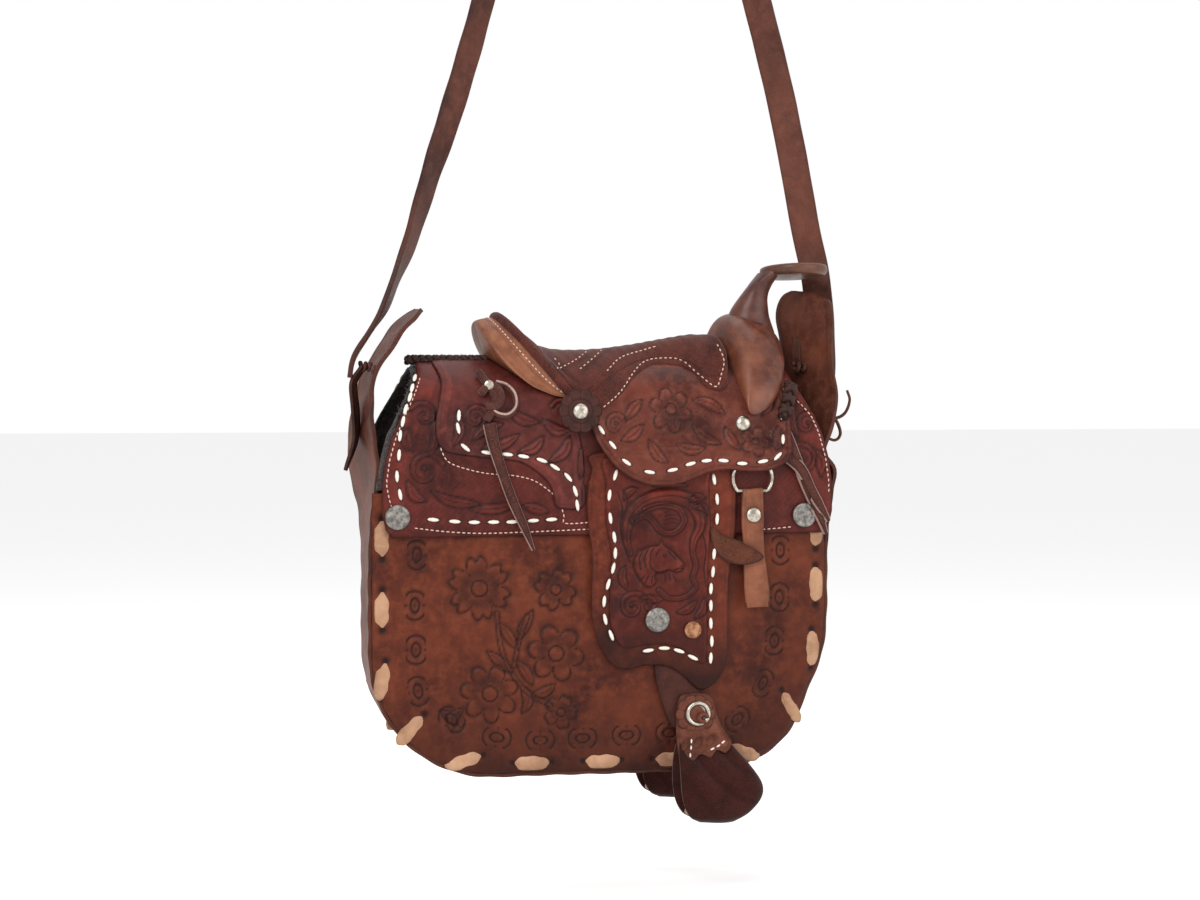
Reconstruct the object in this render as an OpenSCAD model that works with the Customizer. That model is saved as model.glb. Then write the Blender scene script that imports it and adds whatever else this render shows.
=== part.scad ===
// Saddle handbag: a tooled leather shoulder bag whose top is a small western saddle.
// X runs along the bag, Y from front to back and Z up. The origin is where the strap
// lies over a hook or a shoulder, and heights inside the modules are above the bag's bottom.

/* [Bag body] */
// Width of the bag across its two side edges
bag_w = 278; // [240:1:310]
// Depth of the bag over its front and back panels
bag_d = 76; // [66:1:90]
// Radius of the panels' bottom corners
corner_r = 72; // [50:1:90]
// Height of the front and back panels' top rims
rim_h = 168; // [160:1:175]
// Thickness of the body leather
leather_t = 2.4; // [1.8:0.1:3]
// Thickness of the lining inside the bag
lining_t = 1; // [0.6:0.1:1.5]

/* [Skirt over the bag] */
// Height of the skirt's highest line, on the bag's middle
ridge_h = 246; // [240:1:255]
// Height of the skirt's lower edge
skirt_low_h = 142; // [130:1:150]
// Width of the skirt at its widest line
skirt_w = 282; // [250:1:300]
// Thickness of the skirt leather
skirt_t = 2.4; // [1.8:0.1:3]
// Gap between the skirt and the panels, taken by the fleece above the rim
skirt_gap = 1.6; // [1.2:0.1:3]
// Thickness of the fleece under the skirt
fleece_t = 3; // [2:0.5:4]
// Height of the line where the front skirt bends when it is lifted
bend_h = 203; // [200:1:206]
// Thickness of the second leather layer on the skirt
overlay_t = 1.5; // [1:0.1:2]

/* [Saddle] */
// Thickness of the seat jockeys
jockey_t = 2.2; // [1.8:0.1:3]
// Height of the padded seat above the skirt's ridge
seat_rise = 10; // [8:0.5:14]
// Height of the swell's top
swell_top_h = 280; // [276:1:286]
// Height of the horn cap's top
horn_top_h = 306; // [300:1:312]
// Diameter of the horn cap
horn_cap_d = 41; // [34:1:44]
// Thickness of the horn cap
horn_cap_t = 5; // [4:0.5:7]
// Height of the cantle's top
cantle_top_h = 273; // [266:1:280]
// Thickness of the cantle's leather back
cantle_t = 3; // [2.5:0.5:4]

/* [Fenders and stirrups] */
// Width of the fender below its straight top
fender_w = 92; // [84:1:96]
// Drop from the flap's bend line down to the line on which the fender swings
fender_drop = 35; // [34:1:38]
// Height of the fender's lowest point
fender_low_h = 48; // [40:1:60]
// Thickness of the fender leather
fender_t = 2; // [1.6:0.1:2.5]
// Width of the stirrup hood at its mouth
stirrup_w = 52; // [44:1:60]
// Height of the stirrup hood
stirrup_h = 62; // [50:1:70]
// Depth of the stirrup hood from front to back
stirrup_d = 26; // [22:1:30]
// Thickness of the stirrup hood's leather
stirrup_t = 2; // [1.6:0.1:2.4]

/* [Shoulder strap] */
// Width of the shoulder strap
strap_w = 18; // [16:1:22]
// Thickness of the shoulder strap
strap_t = 3; // [2.4:0.1:3.4]
// Height of the strap's top above the bag's bottom
strap_top_h = 640; // [560:10:760]
// Height of the slits that the strap is tied through
pivot_h = 243; // [240:1:248]
// Diameter of the rolled thong in each slit
thong_d = 5; // [4:0.5:6]
// Widest part of each side tab
tab_w = 44; // [38:1:48]

/* [Metal fittings] */
// Diameter of the skirt's snap caps
snap_d = 15; // [12:0.5:17]
// Height of the snaps
snap_h = 154; // [150:1:158]
// Diameter of the domed rivets
rivet_d = 9.5; // [8:0.5:11]
// Diameter of the cinch ring's wire
ring_wire_d = 2.4; // [2:0.1:2.8]
// Inner diameter of the cinch ring
ring_in_d = 22; // [20:1:26]

/* [Hidden] */
$fn = 48;
hull_fn = 24;
over = 1;
seam_gap = 0.4;

fender_pivot_h = bend_h - fender_drop;
half_w = bag_w / 2;
half_d = bag_d / 2;
skirt_r = half_d + skirt_gap;
skirt_out_r = skirt_r + skirt_t;
jockey_out_r = skirt_out_r + jockey_t;
arch_c_h = ridge_h - skirt_out_r;
skirt_span = ridge_h - skirt_low_h;
reach = bag_w;

// Whole model is hung from the strap's top.
module hung() {
    translate([0, 0, -strap_top_h]) children();
}

// Solid arch across the bag, extruded along X, from a low height up over the ridge.
module arch(radius, low, lift = 0) {
    rotate([90, 0, 90]) linear_extrude(bag_w + reach, center = true) {
        translate([0, arch_c_h + lift]) circle(radius);
        translate([-radius, low]) square([2 * radius, arch_c_h + lift - low]);
    }
}

// Leather sheet that lies over the arch.
module arch_sheet(radius, thick) {
    difference() {
        arch(radius + thick, skirt_low_h - over);
        arch(radius, skirt_low_h - 2 * over);
    }
}

// Front half of space, cut to an outline drawn in the front view.
module front_outline(points) {
    rotate([90, 0, 0]) linear_extrude(reach) polygon(points);
}

// The same outline cut through the whole depth.
module both_outline(points) {
    rotate([90, 0, 0]) linear_extrude(2 * reach, center = true) polygon(points);
}

// Flat plate in the front view between two depths, y_near being closer to the front.
module plate(y_near, thick) {
    translate([0, y_near + thick, 0]) rotate([90, 0, 0]) linear_extrude(thick) children();
}

// Ribbon swept along points, with a width and a direction across it at each point.
module ribbon(points, across, widths, thick) {
    count = len(points);
    function along(i) = points[min(i + 1, count - 1)] - points[max(i - 1, 0)];
    function unit(v) = v / norm(v);
    function face(i) = unit(cross(unit(along(i)), unit(across[i])));
    function side(i) = unit(cross(face(i), unit(along(i))));
    corners = [for (i = [0:count - 1]) each [
        points[i] - side(i) * widths[i] / 2 - face(i) * thick / 2,
        points[i] + side(i) * widths[i] / 2 - face(i) * thick / 2,
        points[i] + side(i) * widths[i] / 2 + face(i) * thick / 2,
        points[i] - side(i) * widths[i] / 2 + face(i) * thick / 2
    ]];
    walls = [for (i = [0:count - 2]) for (k = [0:3]) each [
        [4 * i + k, 4 * i + 4 + k, 4 * i + (k + 1) % 4],
        [4 * i + (k + 1) % 4, 4 * i + 4 + k, 4 * i + 4 + (k + 1) % 4]
    ]];
    last = 4 * (count - 1);
    ends = [[0, 1, 2], [0, 2, 3], [last, last + 2, last + 1], [last, last + 3, last + 2]];
    polyhedron(corners, concat(walls, ends), convexity = 6);
}

// Smooth curve through chosen points.
function spline_at(p, i, t) =
    let (a = p[max(i - 1, 0)], b = p[i], c = p[i + 1], d = p[min(i + 2, len(p) - 1)])
    0.5 * ((2 * b) + (c - a) * t + (2 * a - 5 * b + 4 * c - d) * t * t
        + (3 * b - a - 3 * c + d) * t * t * t);
function smooth_path(p, steps) = concat(
    [for (i = [0:len(p) - 2]) for (s = [0:steps - 1]) spline_at(p, i, s / steps)],
    [p[len(p) - 1]]
);

// U shape of the panels: straight sides and round bottom corners.
module u_shape(inset, top) {
    r = corner_r - inset;
    w = bag_w - 2 * inset;
    translate([0, inset]) {
        for (side = [-1, 1]) translate([side * (w / 2 - r), r]) circle(r, $fn = 96);
        translate([-w / 2 + r, 0]) square([w - 2 * r, r]);
        translate([-w / 2, r]) square([w, top - inset - r]);
    }
}

// Front panel, between the gusset's front edges.
module front_panel() {
    color("saddlebrown") hung() plate(-half_d, leather_t) u_shape(0, rim_h);
}
// Back panel, the same shape.
module back_panel() {
    color("saddlebrown") hung() plate(half_d - leather_t, leather_t) u_shape(0, rim_h);
}

// Side tabs rise from the gusset, narrow at the slit and end in a round paddle.
tab_base_rise = 24;
tab_base_h = rim_h + tab_base_rise;
tab_width_shares = [1.48, 1.3, 1.06, 0.9, 0.98, 1.04, 0.9, 0.5];
tab_left_in_shares = [0, 0, 0.01, 0.03, 0.09, 0.15, 0.21, 0.245];
tab_right_in_shares = [0, 0, 0, 0, 0.01, 0.02, 0.02, 0.015];
tab_left_rise = 84;
tab_right_rise = 98;
shoulder_cut_turn = 35;
tab_rise_shares = [0, 0.2, 0.38, 0.55, 0.7, 0.85, 0.95, 1];
tab_left_turn = 0;
tab_right_turn = 33;
tab_mid_x = half_w - leather_t / 2;
slit_h = 28;
slit_w = thong_d + 2 * seam_gap;
function tab_points(sign, ins, rise) = [for (i = [0:7])
    [sign * (tab_mid_x - half_w * ins[i]), 0, tab_base_h + rise * tab_rise_shares[i]]];
function tab_across(turn) = [for (i = [0:7]) let (a = turn * min(1, tab_rise_shares[i] * 2.5))
    [-sin(a), cos(a), 0]];
// One tab with the slit that the strap is tied through.
module tab(sign, ins, rise, turn) {
    difference() {
        ribbon(tab_points(sign, ins, rise), tab_across(turn),
            [for (share = tab_width_shares) share * tab_w], leather_t);
        translate([sign * half_w, 0, pivot_h + slit_h / 4])
            cube([tab_w, slit_w, slit_h], center = true);
    }
}
// Gusset: the band round the bag's sides and bottom, with both tabs.
module gusset() {
    inner_d = bag_d - 2 * leather_t;
    color("sienna") hung() {
        difference() {
            plate(-inner_d / 2, inner_d) u_shape(0, tab_base_h);
            plate(-half_d, bag_d) u_shape(leather_t, tab_base_h + over);
            for (side = [-1, 1]) translate([0, side * half_d, tab_base_h])
                rotate([side * shoulder_cut_turn, 0, 0])
                    cube([bag_w + over, leather_t * 8, leather_t * 8], center = true);
        }
        tab(-1, tab_left_in_shares, tab_left_rise, -tab_left_turn);
        tab(1, tab_right_in_shares, tab_right_rise, tab_right_turn);
    }
}
// Cloth lining inside the bag, open at the top.
module lining() {
    inner_d = bag_d - 2 * leather_t;
    color("tan") hung() difference() {
        plate(-inner_d / 2, inner_d) u_shape(leather_t, rim_h - leather_t);
        plate(-inner_d / 2 + lining_t, inner_d - 2 * lining_t)
            u_shape(leather_t + lining_t, rim_h + over);
    }
}

// Wide lace that joins each panel to the gusset: long stitches round the edge.
lace_w = 10;
lace_l = 21;
lace_t = 1.4;
lace_in = 7;
lace_turns = [36, 64];
lace_top_h = snap_h - (snap_d + lace_l) / 2 - leather_t * 1.4;
lace_side_shares = [1, 0.75, 0.415];
// One stitch, a strip with round ends.
module lace_stitch() {
    linear_extrude(lace_t) {
        square([lace_w, lace_l - lace_w], center = true);
        for (end = [-1, 1]) translate([0, end * (lace_l - lace_w) / 2]) circle(lace_w / 2);
    }
}
// All the stitches of one panel.
module edge_lace() {
    path_r = corner_r - lace_in;
    for (side = [-1, 1]) {
        for (share = lace_side_shares)
            translate([side * (half_w - lace_in), -half_d, lace_top_h * share])
                rotate([90, 0, 0]) lace_stitch();
        for (turn = lace_turns)
            translate([side * (half_w - corner_r + path_r * cos(turn)), -half_d,
                corner_r - path_r * sin(turn)])
                rotate([90, 0, 0]) rotate([0, 0, -side * turn]) lace_stitch();
        translate([side * corner_r * 0.64, -half_d, lace_in]) rotate([90, 0, 0])
            rotate([0, 0, 90]) lace_stitch();
    }
    translate([0, -half_d, lace_in]) rotate([90, 0, 0]) rotate([0, 0, 90]) lace_stitch();
}
module front_edge_lace() {
    color("burlywood") hung() edge_lace();
}
module back_edge_lace() {
    color("burlywood") hung() mirror([0, 1, 0]) edge_lace();
}

// Snap studs on the front panel, under the skirt's corners.
snap_x = skirt_w / 2 - snap_d;
stud_d = snap_d * 0.6;
module snap_studs() {
    color("silver") hung() for (side = [-1, 1])
        translate([side * snap_x, -half_d, snap_h]) rotate([90, 0, 0])
            cylinder(h = skirt_gap - seam_gap, d = stud_d);
}

// Skirt outline in the front view, as shares of its half width and its height.
skirt_shares = [
    [0.955, 0], [0.985, 0.04], [1, 0.13], [1, 0.3], [0.985, 0.44], [0.955, 0.58],
    [0.915, 0.7], [0.875, 0.8], [0.84, 0.9], [0.82, 1.01]
];
function skirt_half(side) = [for (p = skirt_shares)
    [side * p[0] * skirt_w / 2, skirt_low_h + p[1] * skirt_span]];
function reversed(list) = [for (i = [len(list) - 1:-1:0]) list[i]];
skirt_points = concat(skirt_half(1), reversed(skirt_half(-1)));

// The skirt's fixed part: over the ridge and down the back.
module skirt_saddle() {
    color("maroon") hung() difference() {
        intersection() {
            arch_sheet(skirt_r, skirt_t);
            both_outline(skirt_points);
        }
        translate([-reach, -reach, 0]) cube([2 * reach, reach, bend_h]);
    }
}
// The skirt's front wall below the bend line, which lifts.
module skirt_flap() {
    color("maroon") hung() intersection() {
        arch_sheet(skirt_r, skirt_t);
        front_outline(skirt_points);
        translate([-reach, -reach, 0]) cube([2 * reach, reach, bend_h - seam_gap]);
    }
}

// Fleece that lines the skirt over the top, from rim to rim.
module fleece() {
    fleece_out_r = skirt_r;
    color("dimgray") hung() difference() {
        intersection() {
            arch(fleece_out_r, rim_h);
            both_outline(skirt_points);
        }
        arch(fleece_out_r - fleece_t, 0);
        translate([-reach, -reach, 0]) cube([2 * reach, reach, bend_h]);
        translate([-reach, 0, 0]) cube([2 * reach, reach, rim_h + seam_gap]);
    }
}

// Second leather layer behind the cantle, with a stepped lower edge.
overlay_shares = [
    [-0.66, 0.995], [-0.69, 0.87], [-0.72, 0.67], [-0.72, 0.57], [-0.68, 0.49], [-0.58, 0.46],
    [-0.46, 0.44], [-0.36, 0.42], [-0.28, 0.36], [-0.23, 0.28], [-0.21, 0.17], [-0.09, 0.16],
    [-0.09, 0.5], [-0.13, 0.7], [-0.16, 0.995]
];
overlay_points = [for (p = overlay_shares) [p[0] * skirt_w / 2, skirt_low_h + p[1] * skirt_span]];
// The overlay on the lifting part of the skirt.
module overlay_sheet() {
    intersection() {
        arch_sheet(skirt_out_r, overlay_t);
        front_outline(overlay_points);
        translate([-reach, -reach, 0]) cube([2 * reach, reach, bend_h - seam_gap]);
    }
}
module overlay_flap() {
    color("brown") hung() overlay_sheet();
}
// The overlay over the ridge and on the back.
module overlay_rear() {
    color("brown") hung() {
        mirror([0, 1, 0]) intersection() {
            arch_sheet(skirt_out_r, overlay_t);
            front_outline(overlay_points);
        }
        intersection() {
            arch_sheet(skirt_out_r, overlay_t);
            front_outline(overlay_points);
            translate([-reach, -reach, bend_h]) cube([2 * reach, reach, reach]);
        }
    }
}

// Jockeys: the shaped leather under the seat, that shows on both sides.
jockey_shares = [
    [-0.125, 0.71], [-0.055, 0.62], [-0.03, 0.54], [0.015, 0.44], [0.08, 0.36], [0.17, 0.3],
    [0.27, 0.285], [0.36, 0.31], [0.45, 0.36], [0.53, 0.375], [0.62, 0.365], [0.7, 0.36],
    [0.77, 0.39], [0.815, 0.45], [0.82, 0.6], [0.8, 0.78], [0.79, 0.995], [-0.11, 0.995]
];
jockey_points = [for (p = jockey_shares) [p[0] * skirt_w / 2, skirt_low_h + p[1] * skirt_span]];
// One side of the jockey.
module jockey_sheet() {
    intersection() {
        arch_sheet(skirt_out_r, jockey_t);
        front_outline(jockey_points);
    }
}
// The jockey's fixed part: over the ridge and down the back.
module jockey_saddle() {
    color("sienna") hung() {
        intersection() {
            jockey_sheet();
            translate([-reach, -reach, bend_h]) cube([2 * reach, reach, reach]);
        }
        mirror([0, 1, 0]) jockey_sheet();
    }
}

// The flap's part of the jockey stands off the skirt, so the fender and the ring hang behind it.
latigo_t = 1.6;
ring_room = ring_wire_d + seam_gap;
jockey_step = seam_gap + fender_t + ring_room + seam_gap / 2;
step_low = fender_pivot_h + ring_in_d * 1.18;
module jockey_flap() {
    top = bend_h - seam_gap;
    slope = jockey_t * 1.4;
    color("sienna") hung() intersection() {
        front_outline(jockey_points);
        rotate([90, 0, 90]) linear_extrude(bag_w, center = true) polygon([
            [-skirt_out_r, top], [-skirt_out_r - jockey_t, top],
            [-skirt_out_r - jockey_step - jockey_t, step_low],
            [-skirt_out_r - jockey_step - jockey_t, skirt_low_h], [-skirt_out_r - jockey_step, skirt_low_h],
            [-skirt_out_r - jockey_step, step_low - slope / 2], [-skirt_out_r, top - slope]
        ]);
    }
}

// Padded seat, cut to its edge line in the front view.
seat_points_shares = [
    [-0.43, 1.26], [-0.35, 1.2], [-0.28, 1.13], [-0.2, 1.085], [0, 1.08], [0.18, 1.1], [0.32, 1.13],
    [0.44, 1.16], [0.53, 1.15], [0.57, 0.98], [0.555, 0.87], [0.53, 0.835], [0.47, 0.84],
    [0.445, 0.875], [0.42, 0.94], [0.38, 0.985], [0.3, 1], [0.23, 0.995], [0.16, 0.93],
    [0.08, 0.81], [0, 0.72], [-0.07, 0.71], [-0.135, 0.79], [-0.2, 0.865], [-0.32, 1.06]
];
seat_points = [for (p = seat_points_shares) [p[0] * skirt_w / 2, skirt_low_h + p[1] * skirt_span]];
tree_t = 2;
tree_lift = seat_rise * 0.55;
seat_lift = seat_rise * 1.3;
seat_slope = 17;
seat_bend_x = -skirt_w * 0.08;
// The seat's round top, which climbs towards the cantle.
module seat_form(radius) {
    arch(radius, skirt_low_h, seat_lift);
    translate([seat_bend_x, 0, arch_c_h + seat_lift]) rotate([0, seat_slope, 0])
        translate([-reach / 2, 0, 0]) rotate([90, 0, 90])
            linear_extrude(reach, center = true) circle(radius);
}
// The round top cut to the seat's outline.
module seat_block(radius) {
    intersection() {
        seat_form(radius);
        both_outline(seat_points);
    }
}
// Padding with its suede cover.
module seat() {
    color("darkred") hung() difference() {
        seat_block(jockey_out_r + jockey_t);
        arch(jockey_out_r, 0);
        arch(jockey_out_r - tree_t, 0, tree_lift);
    }
}
// Wooden tree under the seat.
module saddle_tree() {
    color("burlywood") hung() difference() {
        intersection() {
            arch(jockey_out_r - tree_t - seam_gap, arch_c_h, tree_lift);
            both_outline(seat_points);
        }
        arch(jockey_out_r + seam_gap / 2, 0);
    }
}

// Cantle: the raised back of the seat, which leans back over the skirt.
cantle_shares = [
    [-0.505, 1.245], [-0.43, 1.275], [-0.375, 1.15], [-0.275, 1.0], [-0.19, 0.86], [-0.125, 0.79],
    [-0.19, 0.745], [-0.3, 0.76], [-0.4, 0.8], [-0.48, 0.9], [-0.5, 1.06]
];
cantle_top_share = max([for (p = cantle_shares) p[1]]);
cantle_unit = (cantle_top_h - skirt_low_h) / cantle_top_share;
cantle_points = [for (p = cantle_shares) [p[0] * skirt_w / 2, skirt_low_h + p[1] * cantle_unit]];
cantle_r = jockey_out_r + jockey_t + cantle_t;
// Leather back of the cantle.
module cantle() {
    color("peru") hung() difference() {
        intersection() {
            seat_form(cantle_r);
            both_outline(cantle_points);
        }
        arch(jockey_out_r, 0);
        seat_block(jockey_out_r + jockey_t + seam_gap / 4);
    }
}
// Binding: a strip folded over the cantle's upper edge.
binding_w = 6;
binding_t = 1.6;
binding_start = [cantle_points[1][0], cantle_points[1][1] + binding_t];
binding_end = [cantle_points[5][0], cantle_points[5][1] - binding_w / 2];
// The binding as a solid strip.
module cantle_binding() {
    color("saddlebrown") hung() difference() {
        intersection() {
            seat_form(cantle_r + binding_t);
            both_outline([
                binding_start, [binding_start[0] - binding_w, binding_start[1]],
                [binding_end[0] - binding_w, binding_end[1] - binding_w / 2], binding_end
            ]);
        }
        seat_form(cantle_r + seam_gap / 8);
    }
}

// Swell: the rounded fork in front of the seat, which spreads over both sides.
swell_x = skirt_w * 0.325;
swell_r = (swell_top_h - ridge_h) * 0.72;
swell_low_h = arch_c_h + swell_r * 0.95;
swell_wide_h = arch_c_h + skirt_out_r * 0.62;
// The swell's round body before it is cut to its seat.
module swell_hull() {
    hull() {
        translate([swell_x, 0, swell_top_h - swell_r]) sphere(swell_r, $fn = hull_fn);
        for (side = [-1, 1]) translate([swell_x - swell_r * 0.1, side * skirt_out_r * 0.72, swell_wide_h])
            sphere(swell_r * 0.8, $fn = hull_fn);
        for (side = [-1, 1]) translate([swell_x - swell_r * 0.1, side * jockey_out_r, swell_low_h])
            sphere(swell_r * 0.38, $fn = hull_fn);
    }
}
// Leather-covered swell on the jockeys.
module swell() {
    color("sienna") hung() difference() {
        swell_hull();
        arch(jockey_out_r, 0);
        seat_block(jockey_out_r + jockey_t + seam_gap / 4);
    }
}

// Horn: a leaning neck that flares into a flat round cap.
horn_x = skirt_w * 0.355;
horn_cap_x = skirt_w * 0.452;
horn_y = -8;
horn_neck_r = 9.5;
horn_base_h = swell_top_h - swell_r * 0.45;
// Neck of the horn before it is cut to the swell.
module horn_neck() {
    hull() {
        translate([horn_x, horn_y / 2, horn_base_h]) sphere(horn_neck_r * 1.25, $fn = hull_fn);
        translate([horn_x + horn_neck_r * 0.9, horn_y, horn_top_h - horn_cap_t - horn_neck_r * 1.2])
            sphere(horn_neck_r, $fn = hull_fn);
    }
    hull() {
        translate([horn_x + horn_neck_r * 0.9, horn_y, horn_top_h - horn_cap_t - horn_neck_r * 1.2])
            sphere(horn_neck_r, $fn = hull_fn);
        translate([horn_cap_x - horn_cap_d * 0.1, horn_y, horn_top_h - horn_cap_t * 1.5])
            cylinder(h = horn_cap_t * 0.5, r = horn_cap_d * 0.36, $fn = hull_fn);
    }
}
// Neck of the horn.
module horn() {
    color("saddlebrown") hung() difference() {
        horn_neck();
        swell_hull();
    }
}
// Flat round cap of the horn.
module horn_cap() {
    color("saddlebrown") hung()
        translate([horn_cap_x, horn_y, horn_top_h - horn_cap_t])
            rotate_extrude($fn = 64) polygon([
                [0, 0], [horn_cap_d * 0.46, 0], [horn_cap_d / 2, horn_cap_t * 0.4],
                [horn_cap_d * 0.47, horn_cap_t * 0.85], [horn_cap_d * 0.3, horn_cap_t], [0, horn_cap_t]
            ]);
}

// Scalloped leather rosettes with domed conchos, at both ends of the cantle.
concho_t = 2.4;
rivet_t = 3;
rosette_d = 21;
rosette_t = 2;
rosette_x = -skirt_w * 0.052;
rosette_h = arch_c_h + rosette_d / 2 + 1;
petals = 10;
// Round flower with scallops.
module scalloped(diameter, count) {
    circle(diameter * 0.42);
    for (i = [0:count - 1])
        rotate(i * 360 / count) translate([diameter * 0.4, 0]) circle(diameter * 0.1, $fn = 24);
}
rosette_back = cantle_r + binding_t + seam_gap;
// Rosettes on both sides, each held off the jockey by a round boss under the seat's edge.
module rosettes() {
    color("maroon") hung() for (side = [0, 1]) mirror([0, side, 0]) {
        plate(-rosette_back - rosette_t, rosette_t)
            translate([rosette_x, rosette_h]) scalloped(rosette_d, petals);
        plate(-rosette_back, rosette_back - jockey_out_r)
            translate([rosette_x, rosette_h - rosette_d * 0.26]) circle(rosette_d * 0.15);
    }
}
// Low round cap with its flat side down.
module dome(diameter, height) {
    ball_r = diameter * diameter / (8 * height) + height / 2;
    intersection() {
        translate([0, 0, height - ball_r]) sphere(ball_r, $fn = 64);
        cylinder(h = height, d = diameter);
    }
}
// Conchos on the rosettes.
module rosette_conchos() {
    color("silver") hung() for (side = [0, 1]) mirror([0, side, 0])
        translate([rosette_x, -rosette_back - rosette_t, rosette_h])
            rotate([90, 0, 0]) dome(rivet_d, concho_t);
}
rivet_x = skirt_w * 0.302;
rivet_h = arch_c_h + rivet_d / 2;
// Domed rivets through the jockeys.
module jockey_rivets() {
    color("silver") hung() for (side = [0, 1]) mirror([0, side, 0])
        translate([rivet_x, -jockey_out_r, rivet_h]) rotate([90, 0, 0]) dome(rivet_d, rivet_t);
}

// Pivot line of the fender, through the cinch ring's lower bar.
ring_y = skirt_out_r + seam_gap + fender_t + ring_room / 2 + seam_gap / 2;
ring_r = (ring_in_d + ring_wire_d) / 2;
fender_x = -skirt_w * 0.0375;
latigo_w = 13;
bar_half = latigo_w / 2 + ring_wire_d + seam_gap;
ring_x = fender_x + fender_w + latigo_w * 0.74;
fender_top_h = fender_pivot_h + ring_in_d;
fender_span = fender_top_h - fender_low_h;
fender_edge_gap = fender_t * 0.6;
fender_y = skirt_out_r + seam_gap + fender_t;
fender_shares = [
    [0.08, 1], [0.03, 0.935], [0, 0.83], [0.006, 0.7], [0.034, 0.57], [0.028, 0.35], [0.067, 0.22],
    [0.137, 0.137], [0.2, 0.1], [0.265, 0.094], [0.387, 0.108], [0.524, 0.104], [0.626, 0.072],
    [0.74, 0], [0.88, 0.045], [0.94, 0.137], [0.945, 0.31], [0.955, 0.5], [1, 0.7], [1, 0.935],
    [0.985, 1]
];
fender_overlay_shares = [
    [0.14, 0.93], [0.115, 0.83], [0.12, 0.7], [0.15, 0.57], [0.14, 0.35], [0.17, 0.25], [0.25, 0.19],
    [0.39, 0.2], [0.53, 0.195], [0.65, 0.165], [0.78, 0.11], [0.8, 0.2], [0.805, 0.5], [0.82, 0.7],
    [0.8, 0.93]
];
// An outline of the fender in millimetres.
function fender_points(shares) = [for (p = shares)
    [fender_x + p[0] * fender_w, fender_low_h + p[1] * fender_span]];
// Everything below a height.
module below(height) {
    translate([-reach, -reach, -reach]) cube([2 * reach, 2 * reach, reach + height]);
}
// The fender's fixed top above the line on which it swings.
module fender_hanger() {
    difference() {
        plate(-fender_y, fender_t) polygon(fender_points(fender_shares));
        below(fender_pivot_h + fender_edge_gap);
    }
}
// The swinging fender.
module fender() {
    intersection() {
        plate(-fender_y, fender_t) polygon(fender_points(fender_shares));
        below(fender_pivot_h - fender_edge_gap);
    }
}
// Second leather layer on the fender.
module fender_overlay() {
    intersection() {
        plate(-fender_y - overlay_t * 0.8, overlay_t * 0.8) polygon(fender_points(fender_overlay_shares));
        below(fender_pivot_h - fender_edge_gap);
    }
}
// Snap cap and rivet on the fender.
module fender_studs() {
    face = fender_y + overlay_t * 0.8;
    translate([fender_x + fender_w * 0.463, -face, fender_low_h + fender_span * 0.3]) rotate([90, 0, 0])
        dome(snap_d * 0.93, concho_t);
    translate([fender_x + fender_w * 0.7, -face, fender_low_h + fender_span * 0.255]) rotate([90, 0, 0])
        dome(rivet_d * 1.1, concho_t * 0.6);
}
stirrup_leather_w = 28;
stirrup_leather_x = fender_x + fender_w * 0.605;
stirrup_pivot_h = fender_low_h - fender_t;
neck_w = 25;
hood_top_h = stirrup_pivot_h - neck_w * 0.96;
// Stirrup leather: hangs behind the fender and behind the stirrup's neck.
module stirrup_leather() {
    leather_low_h = hood_top_h + 3 * seam_gap;
    plate(-fender_y + fender_t, fender_t)
        translate([stirrup_leather_x - stirrup_leather_w / 2, leather_low_h])
            square([stirrup_leather_w, fender_low_h + stirrup_leather_w * 1.3 - leather_low_h]);
}
// Front fender, hanger, overlay, studs and leather as they hang.
module fender_hangers_flap() {
    color("sienna") hung() fender_hanger();
}
module fender_front() {
    color("sienna") hung() fender();
}
module fender_overlay_front() {
    color("maroon") hung() fender_overlay();
}
module fender_studs_front() {
    color("silver") hung() fender_studs();
}
module stirrup_leather_front() {
    color("saddlebrown") hung() stirrup_leather();
}
// The same piece on the back of the bag.
module rear_side() {
    mirror([0, 1, 0]) children();
}

// The rear jockey lies on the skirt, so the rear fender hangs just below its lower edge.
module fender_hanger_rear() {
    color("sienna") hung() rear_side() intersection() {
        difference() {
            fender_hanger();
            translate([0, jockey_t, 0]) front_outline(jockey_points);
        }
        below(fender_pivot_h + jockey_t * 4);
    }
}
// Rear fender, overlay, studs and leather.
module fender_rear() {
    color("sienna") hung() rear_side() fender();
}
module fender_overlay_rear() {
    color("maroon") hung() rear_side() fender_overlay();
}
module fender_studs_rear() {
    color("silver") hung() rear_side() fender_studs();
}
module stirrup_leather_rear() {
    color("saddlebrown") hung() rear_side() stirrup_leather();
}

// Cinch ring under the jockey: a bent wire with a straight lower bar, which carries the folded strap.
ring_h = fender_pivot_h + sqrt(ring_r * ring_r - bar_half * bar_half);
module cinch_ring() {
    color("silver") hung() {
        intersection() {
            translate([ring_x, -ring_y, ring_h]) rotate([90, 0, 0])
                rotate_extrude($fn = 64) translate([ring_r, 0]) circle(ring_wire_d / 2, $fn = 24);
            translate([0, -reach, fender_pivot_h]) cube([reach, reach, reach]);
        }
        translate([ring_x - bar_half - ring_wire_d / 4, -ring_y, fender_pivot_h]) rotate([0, 90, 0])
            cylinder(h = 2 * bar_half + ring_wire_d / 2, d = ring_wire_d);
    }
}
latigo_in_r = ring_wire_d / 2 + seam_gap;
latigo_out_r = latigo_in_r + latigo_t;
latigo_low_h = fender_pivot_h - latigo_w * 3.1;
latigo_x = ring_x;
band_low_h = fender_pivot_h - latigo_w * 5.25;
band_shares = [[-1.9, 1.15], [-0.85, 0.75], [1, -0.25], [0.8, -0.65], [-0.55, -0.65], [-1.9, 0.3]];
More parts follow.
